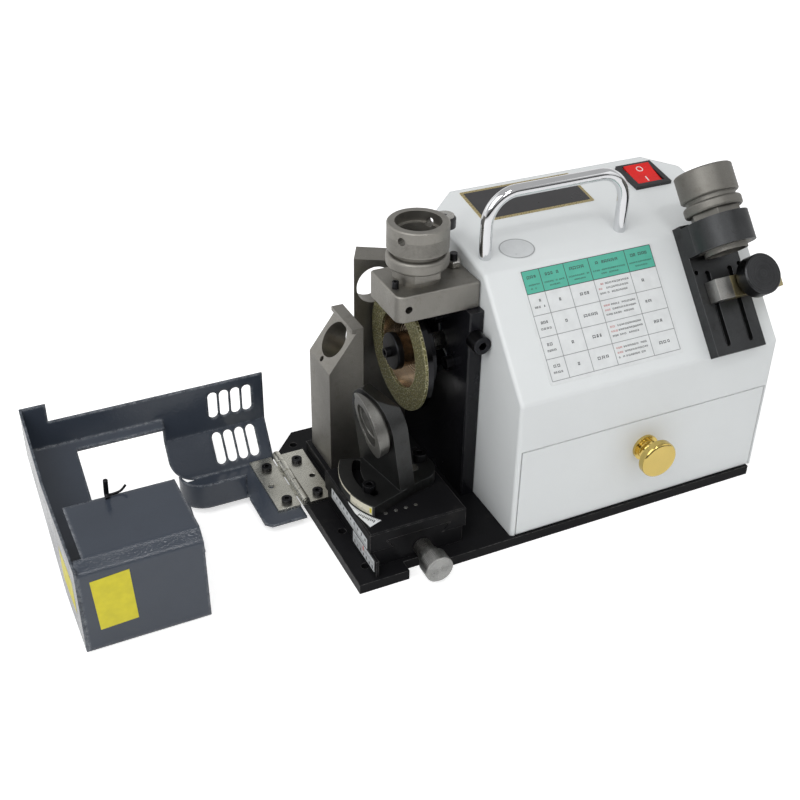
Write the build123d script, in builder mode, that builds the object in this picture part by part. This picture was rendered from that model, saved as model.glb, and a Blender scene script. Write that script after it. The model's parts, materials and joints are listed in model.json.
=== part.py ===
from build123d import *
from math import atan2, cos, hypot, radians, sin
import os

# Endmill grinder: base plate, white motor housing with a drawer, wheel head, cross slide with a swivel jig,
# hinged wheel guard and a setting gauge on the housing's sloping front.
# X runs right, Y runs back, Z runs up. The origin is the middle of the base plate's underside.

# Clearances
RUN = 0.05          # radial clearance of a shaft, pin or screw that turns
SLIDE = 0.3         # gap between flat faces that slide on each other
REST = 0.2          # gap under a flat piece that swivels
HOLE = 0.2          # radial clearance of a screw through a hole
GRIP = 0.05         # radial clearance of a screw in its thread

# Base plate
BASE_DEPTH = 170
BASE_THICK = 7
BASE_CORNER_X = 20
BASE_CORNER_Y = 22
BASE_HOLE_R = 2.75
BASE_HOLE_X = 10.4
BASE_HOLE_Y = 15.4
BASE_HOLE_PITCH = 37.2
REAR_HOLE_X = 15.8
REAR_HOLE_Y = 154.9
NOTCH_WIDTH = 28
NOTCH_DEPTH = 9

# Screws from below the base plate
BASE_SCREW_R = 2.4
BASE_SCREW_HEAD_R = 4.2
BASE_SCREW_HEAD_H = 3.6
BASE_SCREW_SINK = 0.6
BASE_SCREW_DEPTH = 9

# Side plate that carries the motor
SIDE_X = 98
SIDE_THICK = 10
SIDE_Y = 53
SIDE_DEPTH = 97
SIDE_HEIGHT = 142
SIDE_SCREW_INSET = 10
EDGE_SCREW_DROP = 18
EDGE_SCREW_R = 2.9
EDGE_SCREW_HEAD_R = 6
EDGE_SCREW_HEAD_L = 11
EDGE_SCREW_DEPTH = 14

# Wheel axis, wheel and motor
AXIS_Y = 97
AXIS_HEIGHT = 99
WHEEL_R = 41
WHEEL_REACH = 28
GRIT_THICK = 2
GRIT_INNER_R = 26
CORE_THICK = 4
CORE_WEB = 3
FLANGE_R = 12.5
FLANGE_PROUD = 5.4
FLANGE_L = 4.4
FLANGE_SCREW_R = 2.5
FLANGE_SCREW_HEAD_R = 3.4
FLANGE_SCREW_HEAD_L = 4.2
FLANGE_SCREW_DEPTH = 12
HUB_R = 11.5
BOSS_R = 31
BOSS_L = 7
NOSE_R = 5
SHAFT_R = 6
SHAFT_HOLE_R = 16
BELL_THICK = 8.5
BELL_NOSE_R = 27
BELL_NOSE_L = 22
BEARING_W = 6
BEARING_R = 13
CAN_R = 40
CAN_WALL = 4
CAN_LENGTH = 90
AIR_GAP = 0.6
ROTOR_R = 24
ROTOR_LENGTH = 60
MOTOR_SCREW_R = 2.4
MOTOR_SCREW_HEAD_R = 4.5
MOTOR_SCREW_HEAD_L = 5
MOTOR_SCREW_DEPTH = 6
MOTOR_SCREW_PCR = 22.5
MOTOR_SCREW_TURN = 9
CAPACITOR_R = 16
CAPACITOR_L = 32
CAPACITOR_Y = 108
CAPACITOR_HEIGHT = 112

# Housing
HOUSING_LENGTH = 196.5
HOUSING_OVERHANG = 4.5
HOUSING_SETBACK = 2
HOUSING_DEPTH = 144
FRONT_HEIGHT = 101.5
SLOPE_RUN = 55
SLOPE_RISE = 63.5
TOP_RISE = 15
SHEET = 1.5
REAR_CORNER_X = 22
REAR_CORNER_Y = 20
BEND_R = 5
EDGE_R = 2.5
VENT_COUNT = 6
VENT_WIDTH = 4
VENT_HEIGHT = 36
VENT_PITCH = 11
GLAND_R = 7.5
GLAND_FLANGE_R = 11
GLAND_L = 14
GLAND_NUT_L = 4
GLAND_BORE_R = 4
GLAND_INSET = 52.5
GLAND_HEIGHT = 30

# Drawer
DRAWER_EDGE = 3
DRAWER_OPENING = 66.5
DRAWER_GAP = 0.6
DRAWER_LIFT = 2
TRAY_WALL = 1.2
TRAY_HEIGHT = 47
TRAY_DEPTH = 130
TRAY_SIDE_GAP = 0.6
RUNNER_WALL = 3
RUNNER_FOOT = 12
RUNNER_HEIGHT = 24
RUNNER_FOOT_H = 1.6
KNOB_HEIGHT = 43.5
KNOB_R = 13
KNOB_LENGTH = 18
KNOB_HEAD_L = 5.5
KNOB_ROUND = 2.2
KNOB_NECK_R = 4.5
KNOB_FOOT_R = 9.2
KNOB_FOOT_L = 2
KNOB_STEP_R = 7
KNOB_STEP_L = 2.4
KNOB_SCREW_R = 2
KNOB_SCREW_HEAD_R = 3.5
KNOB_SCREW_HEAD_L = 2.4
KNOB_SCREW_DEPTH = 10

# Carrying handle
HANDLE_X = 9.3
HANDLE_PITCH = 100
HANDLE_V = 16.5
HANDLE_R = 4
HANDLE_HEIGHT = 41.5
HANDLE_BEND = 20
HANDLE_SCREW_R = 1.6
HANDLE_SCREW_HEAD_R = 5
HANDLE_SCREW_HEAD_L = 2.5
HANDLE_SCREW_DEPTH = 9

# Rocker switch
SWITCH_INSET = 35
SWITCH_V = 67.5
SWITCH_SIZE = 28.5
SWITCH_LIP = 2.5
SWITCH_BODY = 25
SWITCH_DEPTH = 16
SWITCH_CUT_GAP = 0.4
ROCKER_SIZE = 20.4
ROCKER_GAP = 0.6
ROCKER_POCKET = 11
ROCKER_RISE = 2.2
ROCKER_TILT = 8
ROCKER_DROP = 1.2
ROCKER_PIN_R = 1
ROCKER_PIN_L = 1.4

# Seat plate and top seat
SEAT_PLATE_LENGTH = 56.5
SEAT_PLATE_GAP = 0.5
SEAT_PLATE_Y = 58.5
SEAT_PLATE_DEPTH = 41.5
SEAT_PLATE_THICK = 18
SEAT_PLATE_ROUND = 6
SEAT_PLATE_CORNER = 2.5
SEAT_PLATE_EDGE = 0.8
FRONT_HOLE_R = 2.4
FRONT_HOLE_DEPTH = 9
FRONT_HOLE_X = 7.5
SEAT_X = 23
SEAT_Y = 21.5
SEAT_BORE_R = 12.5
SEAT_MOUTH_R = 14.5
SEAT_MOUTH_DEPTH = 7
NECK_R = 14.2
NECK_H = 3.7
HEX_FLAT_R = 14.8
HEX_H = 5.8
SEAT_RING_R = 19.3
LOWER_RING_R = 19.7
LOWER_RING_H = 8.5
LOWER_RING_ROUND = 2.4
GROOVE_R = 16
GROOVE_H = 2.6
UPPER_RING_H = 17.4
SEAT_EDGE = 0.8
INDEX_HOLE_R = 2.6
INDEX_HOLE_UP = 11
INDEX_HOLE_TURN = 213
STUD_R = 2.5
STUD_X = 50.5
STUD_Y = 26
STUD_UP = 9
STUD_DOWN = 12
GRUB_R = 2.1
GRUB_X = 4.7
GRUB_Y = 13.8
GRUB_UP = 4.5
GRUB_SOCKET_R = 1.2
GRUB_SOCKET_DEPTH = 2
NUT_R = 5.2
NUT_H = 4.6
NUT_EDGE = 0.7
LOCK_X = 48.5
LOCK_Y = 36
LOCK_STEM_R = 3.5
LOCK_STEM_UP = 23.3
LOCK_STEM_DOWN = 10
LOCK_KNOB_R = 7.2
LOCK_KNOB_H = 6.5
LOCK_CAP_R = 5.8
LOCK_CAP_H = 1.2

# Rear plate with the dust port
REAR_PLATE_LENGTH = 40
REAR_PLATE_Y = 141
REAR_PLATE_THICK = 12
REAR_PLATE_HEIGHT = 147
REAR_PLATE_RISE = 4
REAR_PLATE_BEVEL = 7
REAR_TOP_TILT = 14
PORT_R = 13.2
PORT_X = 15.3
PORT_DROP = 22.3
REAR_SCREW_INSET = 8
REAR_SCREW_PITCH = 20

# Post with the tilted seat
RISER_X = 22
RISER_LENGTH = 32
RISER_Y = 104
RISER_DEPTH = 41
RISER_H = 8
POST_X = 25.5
POST_LENGTH = 24.5
POST_Y = 107
POST_DEPTH = 34.5
POST_SHOULDER = 77
POST_FACE_RUN = 19.5
POST_FACE_RISE = 27
POST_LIP = 3.2
POST_LIP_H = 3
POST_BORE_R = 12.5
POST_BORE_UP = 18.5
POST_SCREW_PITCH = 17
SET_HOLE_R = 2
SET_HOLE_DEPTH = 6
SET_HOLE_UP = 3

# Cross slide
SLIDE_X = 45.5
SLIDE_BASE_W = 63
SLIDE_BASE_Y = 12
SLIDE_BASE_D = 73
SLIDE_BASE_H = 12.5
RAIL_W = 2
RAIL_Y = 2.5
RAIL_D = 37.5
TONGUE_FOOT = 34
TONGUE_TOP = 44
TONGUE_H = 6.5
TABLE_W = 67
TABLE_Y = 11.5
TABLE_D = 73
TABLE_H = 14.2
SLIDE_SCREW_X = 23.5
SLIDE_SCREW_INSET = 12
FEED_X = 48
FEED_HEIGHT = 6.5
FEED_R = 4
FEED_WALL = 8
FEED_COLLAR_R = 6
FEED_TAIL = 2
FEED_NUT_W = 15.6
FEED_NUT_D = 12
FEED_NUT_Y = 46
FEED_NUT_BELOW = 5
CHANNEL_FLOOR = 1
FEED_KNOB_R = 9.3
FEED_KNOB_L = 16.5
FEED_KNOB_GRIP = 12
FEED_KNOB_STEP_R = 6.8
FEED_KNOB_STEP_L = 5

# Swivel jig
PIVOT_X = 61
PIVOT_Y = 54
PIVOT_R = 4
PIVOT_DEPTH = 6
FOOT_H = 8
FOOT_R = 48
FOOT_HALF_ANGLE = 35
FOOT_NOSE_R = 15
SLOT_R = 36.5
SLOT_W = 5.6
SLOT_ANGLE_FROM = 147
SLOT_ANGLE_TO = 203
CLAMP_TURN = 196
CLAMP_R = 2.4
CLAMP_HEAD_R = 4.2
CLAMP_HEAD_H = 4.5
CLAMP_DEPTH = 7
UPRIGHT_X = 39.4
UPRIGHT_Y = 56.8
UPRIGHT_TURN = 10
UPRIGHT_TILT = 8
UPRIGHT_THICK = 11
UPRIGHT_R = 23
UPRIGHT_UP = 43
UPRIGHT_TOP = 65
UPRIGHT_BACK_TOP = 59
UPRIGHT_ROOT = 6
JIG_SPIGOT_R = 15
JIG_BORE_R = 13
JIG_RING_R = 21.5
JIG_RING_L = 8.5
JIG_RING_BORE_R = 14
JIG_FACE_OUT = 4.9
JIG_FACE_TILT = 13
JIG_FACE_TURN = 10
JIG_GROOVE_R = 18.5
JIG_GROOVE_L = 2.3
LOCK_SCREW_X = 8
LOCK_SCREW_Y = 6
LOCK_SCREW_R = 2.4
LOCK_SCREW_HEAD_R = 4.6
LOCK_SCREW_HEAD_H = 6
LOCK_SCREW_DEPTH = 6
STOP_PIN_R = 1.2
STOP_PIN_L = 6
STOP_PIN_Y = 16
STOP_PIN_X = 30
STOP_PIN_PITCH = 7
STOP_PIN_COUNT = 4

# Hinge
HINGE_Y = 87
HINGE_LENGTH = 58
HINGE_OUT = 1
KNUCKLE_R = 3
KNUCKLE_COUNT = 5
KNUCKLE_GAP = 0.7
HINGE_PIN_R = 1.6
LEAF_THICK = 2
LEAF_CLEAR = 0.6
BASE_LEAF_W = 16.5
GUARD_LEAF_W = 16
LEAF_SCREW_INSET = 7
LEAF_SCREW_PITCH = 39
LEAF_SCREW_X = 7.5
LEAF_SCREW_R = 1.9
LEAF_SCREW_HEAD_R = 3.6
LEAF_SCREW_HEAD_H = 2.6
LEAF_SCREW_DEPTH = 4.5
LEAF_HOLE_R = 2.2
LEAF_HOLE_SHIFT = 4

# Guard, in the open position
GUARD_SHEET = 1.5
GUARD_FLOOR = 1
GUARD_LEFT = 163
GUARD_MID = 75
GUARD_BACK_Y = 162.5
GUARD_BACK_TOP = 69.5
GUARD_BACK_BEND = 50
GUARD_BACK_LOW = 32
GUARD_WEB_Y = 76
GUARD_FRONT_Y = 20
GUARD_FRONT_BEND = 58
GUARD_TOP_Z = 65
GUARD_TOP_Y = 27
GUARD_TOP_INNER_Y = 76
GUARD_TOP_LEFT = 158
GUARD_TOP_RIGHT = 90
GUARD_BEND_RIGHT = 89.5
GUARD_FRONT_RIGHT = 89
GUARD_BEND_R = 3.5
BEVEL_FOOT_Y = 146
WINDOW_LEFT = 134
WINDOW_FRONT_Y = 106
WINDOW_BACK_Y = 155
HORN_RIGHT = 148
HORN_TOP = 83
VENT_SLOT_W = 6.7
VENT_SLOT_H = 21
VENT_SLOT_PITCH = 8.1
VENT_SLOT_COUNT = 4
VENT_SLOT_X = 26.8
VENT_SLOT_Z = 52.4
BEVEL_SLOT_UP = 1.8
BEVEL_SLOT_PART = 0.72
STRIP_RIGHT = 22
STRIP_Y = 112.5
LIP_H = 19
TAB_LEFT = 33
TAB_Y = 76
END_MID_Y = 110
END_LOW_Z = 60
END_FRONT_Z = 62
END_BACK_LOW = 47

# Setting gauge on the slope, measured along it
GAUGE_INSET = 36.2
GAUGE_W = 38.5
GAUGE_FROM = -1
GAUGE_PLATE = 8.5
GAUGE_TO = 87
GROOVE_PITCH = 18
GAUGE_GROOVE_W = 4
GAUGE_GROOVE_D = 4
GAUGE_GROOVE_FROM = 4
GAUGE_GROOVE_TO = 55
CLAMP_FROM = 65
CLAMP_TO = 84.8
CLAMP_AXIS = 22
CLAMP_RING_R = 20
SLEEVE_R = 17
SLEEVE_BORE_R = 12.5
STUB_R = 14
SLEEVE_FROM = 61.8
SLEEVE_POCKET_GAP = 1
RING_R = 18.8
RING_A_L = 7
RING_A_ROUND = 2
RING_HEX_FLAT_R = 14.6
RING_A_GAP = 2
RING_NECK_L = 3
RING_NECK_R = 16
RING_B_L = 18
STOP_FROM = 33
STOP_L = 14
STOP_LEFT = 13.5
STOP_STEEL_W = 11.5
STOP_BRASS_W = 38.8
STOP_H = 11.5
TONGUE_FIT = 0.3
TONGUE_DEEP = 3.4
THUMB_X = 14.7
THUMB_T = 9.2
THUMB_R = 13.5
THUMB_H = 11
THUMB_STEM_R = 3
THUMB_STEM_DEPTH = 8
THUMB_GAP = 1
GAUGE_SCREW_R = 2
GAUGE_SCREW_HEAD_R = 4
GAUGE_SCREW_HEAD_L = 3
GAUGE_SCREW_DEPTH = 5
GAUGE_SCREW_A = 12
GAUGE_SCREW_B = 76
GAUGE_PIN_HOLE_R = 1.6
GAUGE_PIN_HOLE_T = 55
GAUGE_PIN_HOLE_PITCH = 34

# Planes and edges that the pieces share. The base plate's length follows the housing's.
BASE_LENGTH = SIDE_X + SIDE_THICK + HOUSING_LENGTH - HOUSING_OVERHANG
left = -BASE_LENGTH / 2
front = -BASE_DEPTH / 2
deck = BASE_THICK
side_left = left + SIDE_X
side_right = side_left + SIDE_THICK
side_front = front + SIDE_Y
side_top = deck + SIDE_HEIGHT
axis_y = front + AXIS_Y
axis_z = deck + AXIS_HEIGHT
house_left = side_right
house_right = house_left + HOUSING_LENGTH
house_front = front + HOUSING_SETBACK
house_back = house_front + HOUSING_DEPTH
slope_z = deck + FRONT_HEIGHT
crease_y = house_front + SLOPE_RUN
crease_z = slope_z + SLOPE_RISE
ridge_z = crease_z + TOP_RISE
slope_angle = atan2(SLOPE_RISE, SLOPE_RUN)
top_angle = atan2(TOP_RISE, HOUSING_DEPTH - SLOPE_RUN)


def plane_x(x, y, z):
    """Plane across X: its first axis is Y, its second Z."""
    return Plane(origin=(x, y, z), x_dir=(0, 1, 0), z_dir=(1, 0, 0))


def plane_y(x, y, z):
    """Plane across Y, facing back."""
    return Plane(origin=(x, y, z), x_dir=(1, 0, 0), z_dir=(0, 1, 0))


def plane_z(x, y, z):
    """Plane across Z, facing up."""
    return Plane(origin=(x, y, z), x_dir=(1, 0, 0), z_dir=(0, 0, 1))


def on_slope(height):
    """Plane parallel to the sloping front: X, up the slope, out of it."""
    normal = (0, -sin(slope_angle), cos(slope_angle))
    return Plane(origin=(0, house_front, slope_z), x_dir=(1, 0, 0), z_dir=normal).offset(height)


def on_top(height):
    """Plane parallel to the inclined top: X, towards the ridge, out of it."""
    normal = (0, -sin(top_angle), cos(top_angle))
    return Plane(origin=(0, crease_y, crease_z), x_dir=(1, 0, 0), z_dir=normal).offset(height)


def bar(plane, radius, length, mode=Mode.ADD):
    """Round bar along the plane's normal."""
    with BuildSketch(plane) as profile:
        Circle(radius)
    extrude(profile.sketch, amount=length, mode=mode)


def ring(plane, radius, bore, length):
    """Round ring along the plane's normal."""
    with BuildSketch(plane) as profile:
        Circle(radius)
        Circle(bore, mode=Mode.SUBTRACT)
    extrude(profile.sketch, amount=length)


def block(x, y, z, mode=Mode.ADD):
    """Block between pairs of x, y and z."""
    with BuildSketch(Plane.XY.offset(z[0])) as profile:
        with Locations(((x[0] + x[1]) / 2, (y[0] + y[1]) / 2)):
            Rectangle(x[1] - x[0], y[1] - y[0])
    extrude(profile.sketch, amount=z[1] - z[0], mode=mode)


def slab(plane, x, y, height, mode=Mode.ADD):
    """Block on a plane between pairs of its own coordinates."""
    with BuildSketch(plane) as profile:
        with Locations(((x[0] + x[1]) / 2, (y[0] + y[1]) / 2)):
            Rectangle(x[1] - x[0], y[1] - y[0])
    extrude(profile.sketch, amount=height, mode=mode)


def moved(plane, u, v):
    """The same plane with its origin moved along its own axes."""
    return Plane(origin=plane.from_local_coords((u, v, 0)), x_dir=plane.x_dir, z_dir=plane.z_dir)


def folded(points, thick):
    """Outline of a folded sheet from its outer line, which turns clockwise round its inside."""
    inner = []
    for i, (y, z) in enumerate(points):
        normals = []
        for a, b in ((i - 1, i), (i, i + 1)):
            if a >= 0 and b < len(points):
                dy = points[b][0] - points[a][0]
                dz = points[b][1] - points[a][1]
                size = hypot(dy, dz)
                normals.append((dz / size, -dy / size))
        my = sum(n[0] for n in normals) / len(normals)
        mz = sum(n[1] for n in normals) / len(normals)
        reach = thick / (my * my + mz * mz)
        inner.append((y + my * reach, z + mz * reach))
    return list(points) + inner[::-1]


# Places of the screws that come up through the base plate
side_screws = [
    (side_left + SIDE_THICK / 2, side_front + SIDE_SCREW_INSET),
    (side_left + SIDE_THICK / 2, side_front + SIDE_DEPTH - SIDE_SCREW_INSET),
]
post_x = left + POST_X
post_y = front + POST_Y
post_screws = [
    (post_x + POST_LENGTH / 2, post_y + POST_DEPTH / 2 - POST_SCREW_PITCH / 2),
    (post_x + POST_LENGTH / 2, post_y + POST_DEPTH / 2 + POST_SCREW_PITCH / 2),
]
slide_x = left + SLIDE_X
slide_y = front + SLIDE_BASE_Y
slide_screws = [
    (slide_x + side * SLIDE_SCREW_X, y)
    for side in (-1, 1)
    for y in (slide_y + SLIDE_SCREW_INSET, slide_y + SLIDE_BASE_D - SLIDE_SCREW_INSET)
]
rear_right = side_left
rear_left = rear_right - REAR_PLATE_LENGTH
rear_y = front + REAR_PLATE_Y
rear_screws = [
    (rear_right - REAR_SCREW_INSET, rear_y + REAR_PLATE_THICK / 2),
    (rear_right - REAR_SCREW_INSET - REAR_SCREW_PITCH, rear_y + REAR_PLATE_THICK / 2),
]
base_screw_places = side_screws + post_screws + slide_screws + rear_screws
head_floor = BASE_SCREW_SINK + BASE_SCREW_HEAD_H

# Hinge line and places of the hinge screws
hinge_x = left - HINGE_OUT
hinge_z = deck + KNUCKLE_R + REST
hinge_y = front + HINGE_Y
leaf_clear = KNUCKLE_R + LEAF_CLEAR
leaf_screw_ys = [hinge_y + LEAF_SCREW_INSET, hinge_y + LEAF_SCREW_INSET + LEAF_SCREW_PITCH]
base_leaf_screw_x = hinge_x + leaf_clear + LEAF_SCREW_X
guard_leaf_screw_x = hinge_x - leaf_clear - LEAF_SCREW_X
leaf_hole_y = hinge_y + LEAF_SCREW_INSET + LEAF_SCREW_PITCH / 2
knuckle_pitch = HINGE_LENGTH / KNUCKLE_COUNT

# Feed screw line
feed_x = left + FEED_X
feed_z = deck + FEED_HEIGHT

# Base plate
right = left + BASE_LENGTH
back = front + BASE_DEPTH
with BuildPart() as base_plate:
    with BuildSketch(Plane.XY):
        Polygon(
            (left, front),
            (right, front),
            (right, back - BASE_CORNER_Y),
            (right - BASE_CORNER_X, back),
            (left + BASE_CORNER_X, back),
            (left, back - BASE_CORNER_Y),
            align=None,
        )
        with Locations((feed_x, front)):
            Rectangle(NOTCH_WIDTH, 2 * NOTCH_DEPTH, mode=Mode.SUBTRACT)
        with Locations(
            (left + BASE_HOLE_X, front + BASE_HOLE_Y),
            (left + BASE_HOLE_X, front + BASE_HOLE_Y + BASE_HOLE_PITCH),
            (left + REAR_HOLE_X, front + REAR_HOLE_Y),
        ):
            Circle(BASE_HOLE_R, mode=Mode.SUBTRACT)
        with Locations(*base_screw_places):
            Circle(BASE_SCREW_R + HOLE, mode=Mode.SUBTRACT)
    extrude(amount=BASE_THICK)
    with BuildSketch(Plane.XY):
        with Locations(*base_screw_places):
            Circle(BASE_SCREW_HEAD_R + HOLE)
    extrude(amount=head_floor, mode=Mode.SUBTRACT)
    with BuildSketch(Plane.XY.offset(deck - LEAF_SCREW_DEPTH)):
        with Locations(*[(base_leaf_screw_x, y) for y in leaf_screw_ys]):
            Circle(LEAF_SCREW_R + GRIP)
    extrude(amount=LEAF_SCREW_DEPTH, mode=Mode.SUBTRACT)

with BuildPart() as base_screws:
    with BuildSketch(Plane.XY.offset(BASE_SCREW_SINK)):
        with Locations(*base_screw_places):
            Circle(BASE_SCREW_HEAD_R)
    extrude(amount=BASE_SCREW_HEAD_H)
    with BuildSketch(Plane.XY.offset(head_floor)):
        with Locations(*(side_screws + slide_screws + rear_screws)):
            Circle(BASE_SCREW_R)
    extrude(amount=deck - head_floor + BASE_SCREW_DEPTH)
    with BuildSketch(Plane.XY.offset(head_floor)):
        with Locations(*post_screws):
            Circle(BASE_SCREW_R)
    extrude(amount=deck - head_floor + RISER_H + BASE_SCREW_DEPTH)


def base_screw_holes(places, level):
    """Threaded holes for base plate screws in a piece that stands at a level."""
    with BuildSketch(Plane.XY.offset(level)) as profile:
        with Locations(*places):
            Circle(BASE_SCREW_R + GRIP)
    extrude(profile.sketch, amount=BASE_SCREW_DEPTH + HOLE, mode=Mode.SUBTRACT)


# Side plate
motor_screw_places = [
    (
        axis_y + MOTOR_SCREW_PCR * cos(radians(MOTOR_SCREW_TURN + 90 * i)),
        axis_z + MOTOR_SCREW_PCR * sin(radians(MOTOR_SCREW_TURN + 90 * i)),
    )
    for i in range(4)
]
edge_screw_x = side_right - EDGE_SCREW_HEAD_R - SLIDE
edge_screw_z = side_top - EDGE_SCREW_DROP
with BuildPart() as side_plate:
    block(
        (side_left, side_right),
        (side_front, side_front + SIDE_DEPTH),
        (deck, side_top),
    )
    chamfer(side_plate.edges().filter_by(Axis.Z).group_by(Axis.Y)[0], length=SEAT_PLATE_EDGE)
    bar(plane_x(side_left, axis_y, axis_z), SHAFT_HOLE_R, SIDE_THICK, Mode.SUBTRACT)
    with BuildSketch(plane_x(side_left, 0, 0)):
        with Locations(*motor_screw_places):
            Circle(MOTOR_SCREW_R + HOLE)
    extrude(amount=SIDE_THICK, mode=Mode.SUBTRACT)
    bar(
        plane_y(edge_screw_x, side_front, edge_screw_z),
        EDGE_SCREW_R + GRIP,
        EDGE_SCREW_DEPTH + HOLE,
        Mode.SUBTRACT,
    )
    base_screw_holes(side_screws, deck)

with BuildPart() as edge_screw:
    bar(
        plane_y(edge_screw_x, side_front - EDGE_SCREW_HEAD_L, edge_screw_z),
        EDGE_SCREW_HEAD_R,
        EDGE_SCREW_HEAD_L,
    )
    fillet(edge_screw.edges().group_by(Axis.Y)[0], radius=EDGE_SCREW_HEAD_R / 8)
    bar(plane_y(edge_screw_x, side_front, edge_screw_z), EDGE_SCREW_R, EDGE_SCREW_DEPTH)
    with BuildSketch(plane_y(edge_screw_x, side_front - EDGE_SCREW_HEAD_L, edge_screw_z)):
        RegularPolygon(EDGE_SCREW_R, 6)
    extrude(amount=EDGE_SCREW_HEAD_L / 2, mode=Mode.SUBTRACT)

# Wheel, shaft and rotor
wheel_face = side_left - WHEEL_REACH
core_face = wheel_face + GRIT_THICK
core_back = core_face + CORE_THICK
shoulder_x = core_back + BOSS_L
recess_floor = shoulder_x - CORE_WEB
flange_face = wheel_face - FLANGE_PROUD
flange_back = flange_face + FLANGE_L
bell_x = house_left + SHEET
can_x = bell_x + BELL_NOSE_L + BELL_THICK
rear_bell_x = can_x + CAN_LENGTH
motor_end = rear_bell_x + BELL_THICK
rotor_x = can_x + (CAN_LENGTH - ROTOR_LENGTH) / 2

with BuildPart() as grit_ring:
    ring(plane_x(wheel_face, axis_y, axis_z), WHEEL_R, GRIT_INNER_R, GRIT_THICK)

with BuildPart() as wheel_core:
    bar(plane_x(core_face, axis_y, axis_z), WHEEL_R, CORE_THICK)
    bar(plane_x(core_back, axis_y, axis_z), BOSS_R, BOSS_L)
    bar(plane_x(core_face, axis_y, axis_z), GRIT_INNER_R, recess_floor - core_face, Mode.SUBTRACT)
    bar(plane_x(flange_back, axis_y, axis_z), HUB_R, shoulder_x - flange_back)
    bar(plane_x(flange_back, axis_y, axis_z), NOSE_R, shoulder_x - flange_back, Mode.SUBTRACT)

with BuildPart() as wheel_flange:
    ring(plane_x(flange_face, axis_y, axis_z), FLANGE_R, FLANGE_SCREW_R + HOLE, FLANGE_L)
    fillet(
        wheel_flange.edges().filter_by(GeomType.CIRCLE).group_by(Axis.X)[0].sort_by(SortBy.RADIUS)[-1],
        radius=FLANGE_R / 12,
    )

nose_x = flange_back + HOLE
with BuildPart() as motor_shaft:
    bar(plane_x(nose_x, axis_y, axis_z), NOSE_R, shoulder_x - nose_x)
    bar(plane_x(shoulder_x, axis_y, axis_z), SHAFT_R, motor_end - BEARING_W / 2 - shoulder_x)
    bar(plane_x(nose_x, axis_y, axis_z), FLANGE_SCREW_R + GRIP, FLANGE_SCREW_DEPTH + HOLE, Mode.SUBTRACT)

with BuildPart() as wheel_screw:
    bar(plane_x(flange_face - FLANGE_SCREW_HEAD_L, axis_y, axis_z), FLANGE_SCREW_HEAD_R, FLANGE_SCREW_HEAD_L)
    bar(plane_x(flange_face, axis_y, axis_z), FLANGE_SCREW_R, nose_x - flange_face + FLANGE_SCREW_DEPTH)
    with BuildSketch(plane_x(flange_face - FLANGE_SCREW_HEAD_L, axis_y, axis_z)):
        RegularPolygon(FLANGE_SCREW_R, 6)
    extrude(amount=FLANGE_SCREW_HEAD_L * 0.7, mode=Mode.SUBTRACT)

with BuildPart() as motor_rotor:
    ring(plane_x(rotor_x, axis_y, axis_z), ROTOR_R, SHAFT_R, ROTOR_LENGTH)

# Motor
with BuildPart() as motor_can:
    ring(plane_x(can_x, axis_y, axis_z), CAN_R, CAN_R - CAN_WALL, CAN_LENGTH)

with BuildPart() as motor_stator:
    ring(plane_x(rotor_x, axis_y, axis_z), CAN_R - CAN_WALL, ROTOR_R + AIR_GAP, ROTOR_LENGTH)

with BuildPart() as motor_bells:
    ring(plane_x(bell_x, axis_y, axis_z), BELL_NOSE_R, SHAFT_R + HOLE * 5, BELL_NOSE_L)
    ring(plane_x(bell_x + BELL_NOSE_L, axis_y, axis_z), CAN_R, SHAFT_R + HOLE * 5, BELL_THICK)
    bar(plane_x(can_x - BEARING_W, axis_y, axis_z), BEARING_R, BEARING_W, Mode.SUBTRACT)
    with BuildSketch(plane_x(bell_x, 0, 0)):
        with Locations(*motor_screw_places):
            Circle(MOTOR_SCREW_R + GRIP)
    extrude(amount=MOTOR_SCREW_DEPTH + HOLE, mode=Mode.SUBTRACT)
    bar(plane_x(rear_bell_x, axis_y, axis_z), CAN_R, BELL_THICK)
    bar(plane_x(rear_bell_x, axis_y, axis_z), BEARING_R, BEARING_W, Mode.SUBTRACT)

with BuildPart() as motor_bearings:
    for x in (can_x - BEARING_W, rear_bell_x):
        ring(plane_x(x, axis_y, axis_z), BEARING_R, SHAFT_R + RUN, BEARING_W)

with BuildPart() as motor_screws:
    with BuildSketch(plane_x(side_left - MOTOR_SCREW_HEAD_L, 0, 0)):
        with Locations(*motor_screw_places):
            Circle(MOTOR_SCREW_HEAD_R)
    extrude(amount=MOTOR_SCREW_HEAD_L)
    with BuildSketch(plane_x(side_left, 0, 0)):
        with Locations(*motor_screw_places):
            Circle(MOTOR_SCREW_R)
    extrude(amount=SIDE_THICK + SHEET + MOTOR_SCREW_DEPTH)
    with BuildSketch(plane_x(side_left - MOTOR_SCREW_HEAD_L, 0, 0)):
        with Locations(*motor_screw_places):
            RegularPolygon(MOTOR_SCREW_R, 6)
    extrude(amount=MOTOR_SCREW_HEAD_L * 0.6, mode=Mode.SUBTRACT)

with BuildPart() as run_capacitor:
    bar(
        plane_x(house_right - SHEET - CAPACITOR_L, front + CAPACITOR_Y, deck + CAPACITOR_HEIGHT),
        CAPACITOR_R,
        CAPACITOR_L,
    )

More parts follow.
